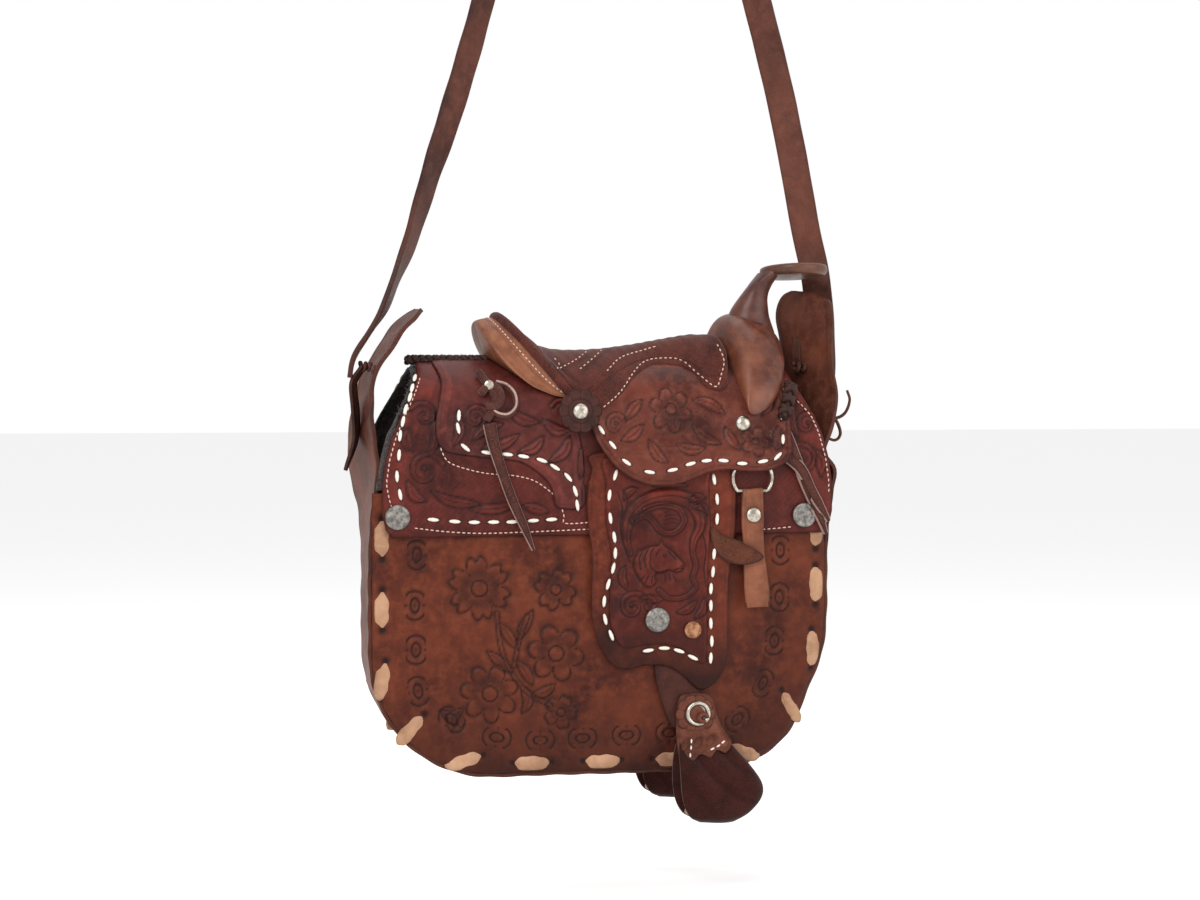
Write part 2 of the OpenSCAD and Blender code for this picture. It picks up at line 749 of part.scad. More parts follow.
// Latigo: a strap folded over the ring's bar, with a band across it.
module latigo_front() {
    color("peru") hung() {
        intersection() {
            translate([latigo_x - latigo_w / 2, -ring_y, fender_pivot_h]) rotate([0, 90, 0]) difference() {
                cylinder(h = latigo_w, r = latigo_out_r);
                translate([0, 0, -over]) cylinder(h = latigo_w + 2 * over, r = latigo_in_r);
            }
            translate([0, -reach, fender_pivot_h]) cube([reach, reach, reach]);
        }
        plate(-ring_y - latigo_out_r, latigo_t) {
            translate([latigo_x - latigo_w / 2, latigo_low_h])
                square([latigo_w, fender_pivot_h - latigo_low_h]);
            polygon([for (p = band_shares) [latigo_x + p[0] * latigo_w, latigo_low_h + p[1] * latigo_w]]);
            translate([latigo_x - latigo_w / 2, band_low_h])
                square([latigo_w * 1.3, latigo_low_h - band_low_h]);
        }
        plate(-ring_y + latigo_in_r, latigo_t)
            translate([latigo_x - latigo_w / 2, fender_pivot_h - latigo_w * 1.7])
                square([latigo_w, latigo_w * 1.7]);
    }
}
// Rivet that holds the fold shut.
module latigo_rivet_front() {
    rivet_z = fender_pivot_h - latigo_w * 1.1;
    color("silver") hung() translate([latigo_x, -ring_y, rivet_z]) rotate([90, 0, 0]) {
        translate([0, 0, latigo_out_r]) dome(rivet_d * 0.92, concho_t * 0.75);
        translate([0, 0, -latigo_in_r]) cylinder(h = 2 * latigo_in_r, d = rivet_d * 0.4);
    }
}

// Stirrup: a folded neck with a rosette, a leather hood open to the rear, and a wooden tread.
neck_x = stirrup_leather_x + neck_w * 0.45;
neck_y = fender_y - fender_t + seam_gap;
hood_low_h = hood_top_h - stirrup_h * 0.85;
hood_y = half_d + lace_t + 2 * seam_gap;
hood_x = neck_x - neck_w / 2;
hood_shares = [
    [0, 1], [0.46, 1], [0.68, 0.84], [0.88, 0.62], [1, 0.4], [0.96, 0.24], [0.82, 0.08],
    [0.6, 0], [0.1, 0.03], [-0.02, 0.2], [-0.06, 0.5], [-0.04, 0.8]
];
hood_tall = hood_top_h - hood_low_h;
// The hood's side outline, inset by its leather.
function hood_points(inset) = [for (p = hood_shares)
    [hood_x + inset + p[0] * (stirrup_w - 2 * inset), hood_low_h + inset + p[1] * (hood_tall - 2 * inset)]];
// Hood with its mouth open to the rear, and its neck.
module stirrup_hood() {
    difference() {
        plate(-hood_y - stirrup_d, stirrup_d) polygon(hood_points(0));
        plate(-hood_y - stirrup_d + stirrup_t, stirrup_d - 2 * stirrup_t) polygon(hood_points(stirrup_t));
        translate([hood_x - stirrup_w, -hood_y - stirrup_d + stirrup_t, hood_low_h + stirrup_t * 2])
            cube([stirrup_w * 1.2, stirrup_d - 2 * stirrup_t, hood_tall * 0.78 - stirrup_t * 2]);
    }
    plate(-neck_y - fender_t, fender_t) translate([neck_x - neck_w / 2, hood_top_h])
        square([neck_w, stirrup_pivot_h - fender_edge_gap - hood_top_h]);
}
// Wooden tread inside the hood.
module stirrup_tread() {
    plate(-hood_y - stirrup_d + stirrup_t + seam_gap / 2, stirrup_d - 2 * stirrup_t - seam_gap)
        translate([hood_x + stirrup_t * 1.5, hood_low_h + stirrup_t * 2.3])
            square([stirrup_w * 0.55, stirrup_t * 1.5]);
}
stirrup_rosette_d = 22;
stirrup_rosette_h = hood_top_h + stirrup_rosette_d / 2 + seam_gap;
// Rosette on the neck, above the hood.
module stirrup_rosette() {
    plate(-neck_y - fender_t - rosette_t, rosette_t)
        translate([neck_x, stirrup_rosette_h]) scalloped(stirrup_rosette_d, petals);
}
// Ring concho with the knot of a thong in it.
module stirrup_concho() {
    translate([neck_x, -neck_y - fender_t - rosette_t, stirrup_rosette_h]) rotate([90, 0, 0]) {
        difference() {
            cylinder(h = rosette_t, d = snap_d);
            translate([0, 0, rosette_t * 0.5]) cylinder(h = rosette_t, d = snap_d * 0.68);
        }
        translate([snap_d * 0.12, -snap_d * 0.12, rosette_t * 0.5]) dome(snap_d * 0.42, rosette_t);
    }
}
module stirrup_hood_front() {
    color("maroon") hung() stirrup_hood();
}
module stirrup_tread_front() {
    color("burlywood") hung() stirrup_tread();
}
module stirrup_rosette_front() {
    color("peru") hung() stirrup_rosette();
}
module stirrup_concho_front() {
    color("silver") hung() stirrup_concho();
}
module stirrup_hood_rear() {
    color("maroon") hung() rear_side() stirrup_hood();
}
module stirrup_tread_rear() {
    color("burlywood") hung() rear_side() stirrup_tread();
}
module stirrup_rosette_rear() {
    color("peru") hung() rear_side() stirrup_rosette();
}
module stirrup_concho_rear() {
    color("silver") hung() rear_side() stirrup_concho();
}

// Snap caps on the flap, over the studs.
module snap_caps() {
    color("gray") hung() for (side = [-1, 1])
        translate([side * snap_x, -skirt_out_r, snap_h]) rotate([90, 0, 0]) dome(snap_d, concho_t * 1.1);
}

// Saddle strings: tied knots by the swell and behind the cantle, with hanging ends on the flap.
// Depth of a point at a height on a cylinder round the arch's middle.
function arch_y(radius, height) = sqrt(radius * radius - (height - arch_c_h) * (height - arch_c_h));
knot_r = 5;
knot_x = skirt_w * 0.405;
knot_h = bend_h + knot_r * 3.3;
function knot_y(k) = -arch_y(jockey_out_r + knot_r + seam_gap, knot_h + k * knot_r * 1.6);
// Three turns of a knot on each side.
module saddle_knots() {
    color("dimgray") hung() for (side = [0, 1]) mirror([0, side, 0]) for (k = [-1:1])
        translate([knot_x + k * knot_r * 0.3, knot_y(k), knot_h + k * knot_r * 1.6])
            sphere(knot_r, $fn = 32);
}
string_w = 5;
string_t = 1.8;
roll_r = 4.4;
roll_l = 18;
roll_h = bend_h + roll_l * 0.9;
roll_turn = 125;
roll_low_h = roll_h + roll_l / 2 * cos(roll_turn);
roll_y = -arch_y(skirt_out_r + overlay_t + roll_r + seam_gap, roll_low_h);
// Rolled string that lies on the overlay.
module string_knot() {
    color("maroon") hung() translate([-skirt_w * 0.23, roll_y, roll_h]) rotate([0, roll_turn, 0])
        translate([0, 0, -roll_l / 2]) cylinder(h = roll_l, r = roll_r);
}
string_h_shares = [0.97, 0.6, 0.25, -0.12];
back_string_x_shares = [-0.26, -0.229, -0.198, -0.167];
front_string_h_shares = [0.97, 0.7, 0.4, 0.1];
front_string_x_shares = [0.418, 0.43, 0.46, 0.485];
string_taper_shares = [1, 1, 0.8, 0.25];
// One string that hangs from the bend line and ends in a point.
module hanging_string(xs, hs, depth, wide) {
    span = bend_h - skirt_low_h;
    ribbon([for (i = [0:3]) [skirt_w * xs[i], -depth, skirt_low_h + span * hs[i]]],
        [for (i = [0:3]) [1, 0, 0]], [for (share = string_taper_shares) share * wide], string_t);
}
// The strings on the flap.
module flap_string() {
    front = skirt_out_r + seam_gap + string_t / 2;
    color("dimgray") hung() {
        hanging_string(back_string_x_shares, string_h_shares, front + overlay_t, string_w);
        for (k = [0, 1]) hanging_string([for (x = front_string_x_shares) x + 0.012 * k],
            front_string_h_shares, front + k * (string_t + seam_gap), string_w * 0.6);
    }
}

// Shoulder strap: one long ribbon of leather that twists on its way over the top.
strap_rise = strap_top_h - pivot_h - strap_t / 2;
strap_x_shares = [
    -1.014, -1.01, -0.98, -0.915, -0.85, -0.785, -0.69, -0.597, -0.446, -0.28, -0.12, 0,
    0.2, 0.44, 0.675, 0.852, 0.942, 1.014, 1.055, 1.06, 1.058, 1.055, 1.052
];
strap_y_shares = [
    0, 0, 0, 0, 0, 0, 0, 0.02, 0.05, 0.05, 0.02, 0,
    0.02, 0.06, 0.14, 0.25, 0.32, 0.35, 0.31, 0.17, 0.06, -0.02, -0.04
];
strap_h_shares = [
    -0.018, 0.018, 0.048, 0.083, 0.128, 0.184, 0.29, 0.39, 0.572, 0.773, 0.924, 1,
    0.965, 0.868, 0.673, 0.471, 0.345, 0.219, 0.151, 0.093, 0.048, 0.008, -0.015
];
strap_turns = [
    0, 0, -3, -12, -20, -30, -42, -53, -50, -35, -10, 0,
    10, 30, 50, 62, 68, 72, 72, 60, 45, 36, 33
];
strap_route = [for (i = [0:len(strap_x_shares) - 1])
    [strap_x_shares[i] * half_w, strap_y_shares[i] * half_d, pivot_h + strap_h_shares[i] * strap_rise]];
// The strap's ribbon with a chosen thickness.
module strap_ribbon(thick) {
    steps = 3;
    turns = smooth_path(strap_turns, steps);
    ribbon(smooth_path(strap_route, steps), [for (a = turns) [-sin(a), cos(a), 0]],
        [for (a = turns) strap_w], thick);
}
// The whole shoulder strap.
module shoulder_strap() {
    color("saddlebrown") hung() strap_ribbon(strap_t);
}
// Thin thong swept along a route, lying in the front view.
thong_t = 2.2;
module thong(route, widths, across = [0, 1, 0]) {
    steps = 3;
    ribbon(smooth_path(route, steps), [for (i = [0:steps * (len(route) - 1)]) across],
        smooth_path(widths, steps), thong_t);
}
// Rolled thongs that tie the strap through the slits, with their loose ends.
knot_d = 9;
left_tail_shares = [[-1.035, 0.985], [-1.062, 0.91], [-1.046, 0.82], [-1.053, 0.745], [-1.09, 0.68]];
right_tail_shares = [[1.093, 0.99], [1.103, 0.93], [1.14, 0.91], [1.185, 0.935], [1.17, 0.97]];
right_low_shares = [[1.078, 0.97], [1.11, 0.89], [1.145, 0.84], [1.14, 0.79], [1.085, 0.81]];
left_tail_widths = [10, 13, 13, 10, 3];
right_tail_widths = [5, 5, 5, 4.5, 2];
// A tail's route in the front view.
function tail_route(shares, y) = [for (p = shares) [p[0] * half_w, y, p[1] * pivot_h]];
// Both rolled thongs with their tails.
module strap_thongs() {
    left_x = half_w * 0.92;
    right_x = half_w * 0.965;
    color("saddlebrown") hung() {
        difference() {
            union() {
                translate([-half_w * 1.01, 0, pivot_h]) rotate([0, 90, 0])
                    cylinder(h = half_w * 1.01 - left_x + knot_d / 2, d = thong_d);
                translate([-left_x + knot_d * 0.7, 0, pivot_h]) sphere(knot_d / 2);
                translate([right_x - knot_d / 2, 0, pivot_h]) rotate([0, 90, 0])
                    cylinder(h = half_w * 1.05 - right_x + knot_d / 2, d = thong_d);
                translate([right_x - knot_d * 0.7, 0, pivot_h]) sphere(knot_d / 2);
            }
            strap_ribbon(strap_t + seam_gap / 2);
        }
        thong(tail_route(left_tail_shares, 0), left_tail_widths);
        thong(tail_route(right_tail_shares, -knot_d * 0.3), right_tail_widths);
        thong(tail_route(right_low_shares, knot_d * 0.3), right_tail_widths);
    }
}

front_panel();
back_panel();
gusset();
lining();
front_edge_lace();
back_edge_lace();
snap_studs();
fleece();
skirt_saddle();
skirt_flap();
overlay_flap();
overlay_rear();
saddle_tree();
seat();
cantle();
cantle_binding();
swell();
horn();
horn_cap();
jockey_saddle();
jockey_flap();
rosettes();
rosette_conchos();
jockey_rivets();
snap_caps();
fender_hangers_flap();
cinch_ring();
string_knot();
flap_string();
saddle_knots();
fender_front();
fender_overlay_front();
fender_studs_front();
latigo_front();
latigo_rivet_front();
stirrup_leather_front();
stirrup_hood_front();
stirrup_tread_front();
stirrup_rosette_front();
stirrup_concho_front();
fender_hanger_rear();
fender_rear();
fender_overlay_rear();
fender_studs_rear();
stirrup_leather_rear();
stirrup_hood_rear();
stirrup_tread_rear();
stirrup_rosette_rear();
stirrup_concho_rear();
shoulder_strap();
strap_thongs();
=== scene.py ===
"""Saddle handbag: a tooled leather shoulder bag whose top is a small western saddle."""
import bpy
import bmesh
import math
import numpy as np
from mathutils import Matrix, Vector
from mathutils.bvhtree import BVHTree

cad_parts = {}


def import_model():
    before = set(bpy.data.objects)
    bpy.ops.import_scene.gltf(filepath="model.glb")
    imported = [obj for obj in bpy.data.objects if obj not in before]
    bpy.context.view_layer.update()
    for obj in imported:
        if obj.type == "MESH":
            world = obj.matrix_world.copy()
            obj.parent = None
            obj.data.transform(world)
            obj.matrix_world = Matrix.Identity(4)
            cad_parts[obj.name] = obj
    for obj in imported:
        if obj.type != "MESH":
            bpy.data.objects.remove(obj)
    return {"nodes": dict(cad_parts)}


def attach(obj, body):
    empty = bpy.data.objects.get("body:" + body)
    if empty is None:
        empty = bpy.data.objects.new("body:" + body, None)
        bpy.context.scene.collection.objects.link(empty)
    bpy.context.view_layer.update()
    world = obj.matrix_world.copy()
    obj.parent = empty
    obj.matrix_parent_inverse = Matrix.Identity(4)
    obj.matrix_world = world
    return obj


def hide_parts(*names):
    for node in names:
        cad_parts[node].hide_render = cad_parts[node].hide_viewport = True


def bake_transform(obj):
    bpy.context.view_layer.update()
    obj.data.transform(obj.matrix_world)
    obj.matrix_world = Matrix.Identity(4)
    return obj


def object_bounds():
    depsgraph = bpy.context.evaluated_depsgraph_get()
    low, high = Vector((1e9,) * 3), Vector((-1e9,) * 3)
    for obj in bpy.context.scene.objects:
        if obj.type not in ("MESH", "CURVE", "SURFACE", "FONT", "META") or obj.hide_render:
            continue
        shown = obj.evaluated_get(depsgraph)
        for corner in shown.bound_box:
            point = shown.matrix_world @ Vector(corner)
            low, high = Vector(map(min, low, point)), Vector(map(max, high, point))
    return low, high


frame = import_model()
cad_low, cad_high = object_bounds()
MM = 0.001


# Room: a plain pale floor under a white sky, soft lamps and the camera. The bag hangs by its strap,
# so the floor lies a little below the stirrups. The camera stands where the photograph's did.
def linear(code):
    """An sRGB hex colour as linear values."""
    parts = [int(code[i:i + 2], 16) / 255 for i in (1, 3, 5)]
    return tuple(p / 12.92 if p <= 0.04045 else ((p + 0.055) / 1.055) ** 2.4 for p in parts) + (1,)


def add(tree, kind, inputs=None, **settings):
    """Adds a shader node with its settings, its socket values and its links."""
    made = tree.nodes.new(kind)
    for key, value in settings.items():
        setattr(made, key, value)
    for key, value in (inputs or {}).items():
        socket = made.inputs[key]
        if isinstance(value, bpy.types.NodeSocket):
            tree.links.new(value, socket)
        else:
            socket.default_value = value
    return made


def new_material(name):
    """An empty material, its node tree and its output."""
    material = bpy.data.materials.new(name)
    material.use_nodes = True
    tree = material.node_tree
    tree.nodes.clear()
    return material, tree, add(tree, "ShaderNodeOutputMaterial")


room_white = 0.93
floor_glow = 0.32
sky_light = 0.62
floor_z = cad_low.z - 45 * MM
room_half = 14


def looked_at(tree):
    """1 where the camera sees a surface, straight or in polished metal, and 0 where it only lights others."""
    path = add(tree, "ShaderNodeLightPath")
    return add(tree, "ShaderNodeMath", {0: path.outputs["Is Camera Ray"], 1: path.outputs["Is Glossy Ray"]},
               operation="MAXIMUM").outputs[0]


def room_material():
    """Matt white card that looks evenly white to the camera and in polished metal."""
    material, tree, out = new_material("white_card")
    card = add(tree, "ShaderNodeBsdfDiffuse", {"Color": (room_white, room_white, room_white, 1)})
    glow = add(tree, "ShaderNodeEmission", {"Color": (1, 1, 1, 1), "Strength": floor_glow})
    both = add(tree, "ShaderNodeAddShader", {0: card.outputs[0], 1: glow.outputs[0]})
    pick = add(tree, "ShaderNodeMixShader", {0: looked_at(tree), 1: card.outputs[0], 2: both.outputs[0]})
    tree.links.new(pick.outputs[0], out.inputs["Surface"])
    return material


def link(name, bm):
    """Turns a bmesh into an object in the scene."""
    mesh = bpy.data.meshes.new(name)
    bm.to_mesh(mesh)
    bm.free()
    made = bpy.data.objects.new(name, mesh)
    bpy.context.scene.collection.objects.link(made)
    return made


bm = bmesh.new()
bmesh.ops.create_grid(bm, x_segments=1, y_segments=1, size=room_half)
bmesh.ops.translate(bm, verts=bm.verts, vec=(0, 0, floor_z))
backdrop = link("floor", bm)
backdrop.data.materials.append(room_material())


def lamp(name, size, power, place, aim):
    """A soft rectangular lamp that faces a point."""
    data = bpy.data.lights.new(name, "AREA")
    data.shape = "RECTANGLE"
    data.size, data.size_y = size
    data.energy = power
    made = bpy.data.objects.new(name, data)
    made.location = place
    made.rotation_euler = (Vector(aim) - Vector(place)).to_track_quat("-Z", "Y").to_euler()
    bpy.context.scene.collection.objects.link(made)


bag_middle = (0, 0, -0.5)
lamp("key_lamp", (1.1, 1.1), 24, (-0.9, -1.5, 0.5), bag_middle)
lamp("fill_lamp", (1.4, 1.4), 13, (1.3, -1.3, -0.1), bag_middle)
lamp("top_lamp", (1.6, 1.0), 10, (0.1, 0.3, 1.1), bag_middle)
world = bpy.data.worlds.new("studio")
world.use_nodes = True
background = world.node_tree.nodes["Background"]
background.inputs["Color"].default_value = (1, 1, 1, 1)
sky = add(world.node_tree, "ShaderNodeMapRange", {"Value": looked_at(world.node_tree), "To Min": sky_light,
                                                  "To Max": 1.0})
world.node_tree.links.new(sky.outputs[0], background.inputs["Strength"])
bpy.context.scene.world = world
bpy.context.scene.view_settings.view_transform = "Standard"

camera_turn = math.radians(-12)
camera_rise = math.radians(1.5)
camera_far = 1.7
frame_wide = 0.72
aim = Vector((-1.5 * MM, -38 * MM, -447 * MM))
camera_data = bpy.data.cameras.new("camera")
camera_data.sensor_width = 36
camera_data.lens = camera_data.sensor_width * camera_far / frame_wide
camera = bpy.data.objects.new("camera", camera_data)
camera.location = aim + camera_far * Vector((
    math.sin(camera_turn) * math.cos(camera_rise),
    -math.cos(camera_turn) * math.cos(camera_rise),
    math.sin(camera_rise),
))
camera.rotation_euler = (aim - camera.location).to_track_quat("-Z", "Y").to_euler()
bpy.context.scene.collection.objects.link(camera)
bpy.context.scene.camera = camera


# Front panel: one piece of thick vegetable-tanned leather, carved with a swivel knife, bevelled and
# stamped: flowers on a stem at the lower left and a row of border stamps. Sewn to the gusset with lace.
strap_top_h = 640
half_w = 139
half_d = 38
rim_h = 168
corner_r = 72
panel_t = 2.4

# The photograph's scale, the row of the bag's bottom and the columns of its middle: pieces that stand
# farther forward are seen with their middle a little to the right.
mm_across = 0.6147
mm_up = 0.6
bottom_px = 772
skirt_mid = 603
string_mid = 604
outer_mid = 605
middle_off = 3.1


def place(x, y, h):
    """Real places in millimetres, heights above the bag's bottom, as metres in the frame."""
    return np.stack([x, y, h - strap_top_h], axis=-1) * MM


def seen(points, middle=skirt_mid):
    """Photo pixels as x and height in mm on an upright plane of the front; middle shifts with its depth."""
    return [((px - middle + middle_off) * mm_across, (bottom_px - py) * mm_up) for px, py in points]


def resample(points, step, closed=False):
    """Even points along a smooth curve through the given ones."""
    p = np.array(points, float)
    if closed:
        p = np.vstack([p[-1:], p, p[:2]])
    else:
        p = np.vstack([2 * p[:1] - p[1:2], p, 2 * p[-1:] - p[-2:-1]])
    t = np.linspace(0, 1, 12, endpoint=False)[:, None]
    runs = []
    for a, b, c, d in zip(p[:-3], p[1:-2], p[2:-1], p[3:]):
        runs.append(0.5 * (2 * b + (c - a) * t + (2 * a - 5 * b + 4 * c - d) * t ** 2
                           + (3 * b - a - 3 * c + d) * t ** 3))
    fine = np.vstack(runs + [p[-2:-1]])
    length = np.concatenate([[0], np.cumsum(np.linalg.norm(np.diff(fine, axis=0), axis=1))])
    count = max(2, int(round(length[-1] / step)) + 1)
    at = np.linspace(0, length[-1], count)
    return np.stack([np.interp(at, length, fine[:, k]) for k in range(fine.shape[1])], axis=-1)


def within(line, x, h):
    """Which of the places lie inside a closed line."""
    inside = np.zeros(x.shape, bool)
    for (ax, ah), (bx, bh) in zip(line, np.roll(line, -1, axis=0)):
        if ah != bh:
            between = (h > min(ah, bh)) & (h <= max(ah, bh))
            inside ^= between & (x < ax + (h - ah) * (bx - ax) / (bh - ah))
    return inside


class Carving:
    """Heights in mm and darkness of a carved leather face, on its vertices' flat places; the darkness is the
    carving's dye and, on some pieces, painted shade.
    """

    def __init__(self, x, h):
        self.x = np.asarray(x, float)
        self.h = np.asarray(h, float)
        self.lift = np.zeros_like(self.x)
        self.dark = np.zeros_like(self.x)

    def darken(self, value):
        """Makes the face at least this dark."""
        self.dark = np.maximum(self.dark, value)

    def deepen(self, relief, dye):
        """Makes the whole carving bolder and its dye darker."""
        self.lift *= relief
        self.dark = np.minimum(self.dark * dye, 1)

    def near(self, path):
        """Distance to a curve, and the share of its length at the nearest point."""
        best = np.full(self.x.shape, 1e9)
        share = np.zeros(self.x.shape)
        reach = 14
        low = path.min(0) - reach
        high = path.max(0) + reach
        inside = (self.x > low[0]) & (self.x < high[0]) & (self.h > low[1]) & (self.h < high[1])
        where = np.nonzero(inside)
        px = self.x[where][:, None]
        ph = self.h[where][:, None]
        a = path[:-1]
        d = path[1:] - a
        size = np.maximum((d ** 2).sum(1), 1e-9)
        t = np.clip(((px - a[:, 0]) * d[:, 0] + (ph - a[:, 1]) * d[:, 1]) / size, 0, 1)
        gap = np.hypot(px - a[:, 0] - t * d[:, 0], ph - a[:, 1] - t * d[:, 1])
        pick = gap.argmin(1)
        rows = np.arange(len(pick))
        best[where] = gap[rows, pick]
        share[where] = (pick + t[rows, pick]) / len(a)
        return best, share

    def cut(self, gap, width=0.8, depth=0.6, dark=0.8):
        """A knife cut or a bevelled line where gap is zero."""
        dip = np.exp(-(gap / width) ** 2)
        self.lift -= depth * dip
        self.darken(dark * dip)

    def shape(self, gap, rise=0.5, bevel=3.0, depth=0.75):
        """A raised form where gap is negative, its outline bevelled down into the background."""
        outside = np.clip(gap, 0, 40)
        inside = np.clip(-gap, 0, 40)
        self.lift -= np.where(gap >= 0, depth * np.exp(-outside / bevel), 0)
        self.lift += np.where(gap < 0, rise * (1 - np.exp(-inside / 1.2)) - depth * np.exp(-inside / 0.5), 0)
        self.darken(np.where(gap >= 0, 0.75 * np.exp(-outside / (bevel * 0.45)), 0))
        self.darken(0.75 * np.exp(-inside / 0.45) * (gap < 0))

    def line(self, points, width=0.8, depth=0.6, dark=0.8):
        """A cut along a curve."""
        gap, _ = self.near(resample(points, 1.5))
        self.cut(gap, width, depth, dark)

    def leaf(self, points, half, rise=0.45):
        """A pointed leaf along a curve, with its middle vein."""
        gap, share = self.near(resample(points, 1.2))
        grown = half * np.sin(np.pi * np.clip(share, 0.02, 0.98)) ** 0.75
        self.shape(gap - grown, rise, bevel=2.2)
        self.cut(gap + 4 * (share > 0.85), 0.5, 0.3, 0.5)

    def stem(self, points, half=1.2):
        """A rounded stem between two bevelled lines."""
        gap, _ = self.near(resample(points, 1.5))
        self.shape(gap - half, 0.35, bevel=1.6, depth=0.55)

    def flower(self, cx, ch, r, petals, notch=0.0, turn=0.0, heart=0.24):
        """A flower seen from the front: petals with a notch, a dished heart and its seeds."""
        dx = self.x - cx
        dh = self.h - ch
        rho = np.hypot(dx, dh)
        angle = np.arctan2(dh, dx) + turn
        part = angle * petals / 2
        wave = np.abs(np.cos(part))
        off = np.abs(np.mod(part + np.pi / 2, np.pi) - np.pi / 2) * 2 / petals
        edge = r * (0.42 + 0.58 * wave ** 0.55 - notch * np.exp(-(off * petals / 0.7) ** 2))
        heart_r = r * heart
        self.shape((rho - edge) * 0.92, 0.55, bevel=3.2, depth=0.85)
        dish = np.exp(-((rho - heart_r * 1.9) / (r * 0.2)) ** 2) * (rho < edge)
        self.lift -= 0.4 * dish
        self.darken(0.35 * dish)
        veins = np.exp(-(np.sin(part) * rho * 2 / petals / 0.7) ** 2)
        self.lift -= 0.4 * veins * (rho < edge) * (rho > heart_r)
        self.cut(rho - heart_r, 0.6, 0.6)
        seeds = np.cos(dx * 2.2) * np.cos(dh * 2.2)
        self.lift += np.where(rho < heart_r, 0.25 + 0.18 * seeds, 0)

    def patch(self, points, rise=0.5, bevel=2.4, depth=0.7):
        """A raised form with a drawn outline."""
        line = resample(points, 1.0, closed=True)
        gap, _ = self.near(np.vstack([line, line[:1]]))
        inside = within(line, self.x, self.h)
        self.shape(np.where(inside, -gap, gap), rise, bevel, depth)

    def hole(self, points, r=0.9):
        """Punched holes, darkened inside as painted shade."""
        for cx, ch in points:
            gap = np.hypot(self.x - cx, self.h - ch)
            dip = np.exp(-(gap / r) ** 2)
            self.lift -= 0.9 * dip
            # Painted shade in the hole.
            self.darken(np.clip(1.3 * dip, 0, 1))

    def border_stamp(self, cx, ch, turn):
        """A stamped border mark: an upright oval with a bead, between two bent bars."""
        c, s = math.cos(turn), math.sin(turn)
        dx = (self.x - cx) * c + (self.h - ch) * s
        dh = -(self.x - cx) * s + (self.h - ch) * c
        ring = np.hypot(dx / 2.6, dh / 4.2)
        self.cut((ring - 1) * 3, 0.7, 0.65, 0.85)
        self.cut(np.hypot(dx / 0.9, dh / 2) * 0.8, 0.7, 0.4, 0.5)
        for side in (-1, 1):
            bar = np.hypot(dx, dh - side * 2.2) - 6.4
            part = (side * dh > 2.8) & (np.abs(dx) < 5.8)
            self.cut(np.where(part, bar, 9), 0.7, 0.6, 0.8)
        for side in (-1, 1):
            tick = np.hypot(dx - side * 5.4, dh)
            self.cut(tick, 0.9, 0.5, 0.7)


def flat_places(made):
    """The places of a mesh's vertices, one row each."""
    co = np.zeros(len(made.data.vertices) * 3)
    made.data.vertices.foreach_get("co", co)
    return co.reshape(-1, 3)


def grid_piece(name, across, up):
    """A flat grid from -0.5 to 0.5, as an object, and its places."""
    bm = bmesh.new()
    bmesh.ops.create_grid(bm, x_segments=across, y_segments=up, size=0.5)
    made = link(name, bm)
    return made, flat_places(made)


def lay(made, spots, dark):
    """Puts a mesh's vertices where they belong and keeps how dark each one is: carving dye and painted shade.
    """
    made.data.vertices.foreach_set("co", spots.ravel())
    made.data.attributes.new("dark", "FLOAT", "POINT").data.foreach_set("value", dark.astype(np.float32))


def smooth_faces(faces):
    """Shades a bmesh's faces smoothly."""
    for face in faces:
        face.smooth = True


def finish_sheet(made, thick, edge=0.0):
    """Gives a carved face its leather's thickness and, where it is asked for, round edges."""
    for face in made.data.polygons:
        face.use_smooth = True
    wall = made.modifiers.new("thickness", "SOLIDIFY")
    wall.thickness = thick * MM
    wall.offset = -1
    if edge:
        soft = made.modifiers.new("round_edges", "BEVEL")
        soft.width = edge * MM
        soft.segments = 2
        soft.limit_method = "ANGLE"
        soft.angle_limit = math.radians(50)


def leather_sheet(name, across, up, shape_at, thick, carve=None):
    """A sheet of leather: a grid whose vertices are laid where shape_at says and then carved.

    shape_at takes the shares across and up, and gives flat x, height and a function from lift to place.
    """
    made, co = grid_piece(name, across, up)
    x, h, to_place = shape_at(co[:, 0] + 0.5, co[:, 1] + 0.5)
    work = Carving(x, h)
    if carve:
        carve(work)
    lay(made, to_place(work.lift), work.dark)
    finish_sheet(made, thick)
    return made


def cut_sheet(name, outline, step, to_place, thick, carve=None):
    """Leather cut to an outline: a fine grid whose border is moved onto the outline, then carved."""
    line = resample(outline, step * 0.4, closed=True)
    low, high = line.min(0), line.max(0)
    counts = np.ceil((high - low) / step).astype(int) + 1
    bm = bmesh.new()
    bmesh.ops.create_grid(bm, x_segments=int(counts[0]), y_segments=int(counts[1]), size=0.5)
    for v in bm.verts:
        v.co.x = low[0] + (v.co.x + 0.5) * counts[0] * step - step / 2
        v.co.y = low[1] + (v.co.y + 0.5) * counts[1] * step - step / 2
    mids = np.array([face.calc_center_median()[:2] for face in bm.faces])
    kept = within(line, mids[:, 0], mids[:, 1])
    bmesh.ops.delete(bm, geom=[face for face, keep in zip(list(bm.faces), kept) if not keep], context="FACES")
    for v in bm.verts:
        if v.is_boundary:
            near = line[np.hypot(line[:, 0] - v.co.x, line[:, 1] - v.co.y).argmin()]
            v.co.x, v.co.y = near
    made = link(name, bm)
    co = flat_places(made)
    work = Carving(co[:, 0], co[:, 1])
    work.edge, _ = work.near(np.vstack([line, line[:1]]))
    if carve:
        carve(work)
    lay(made, to_place(co[:, 0], co[:, 1], work.lift), work.dark)
    finish_sheet(made, thick)
    return made


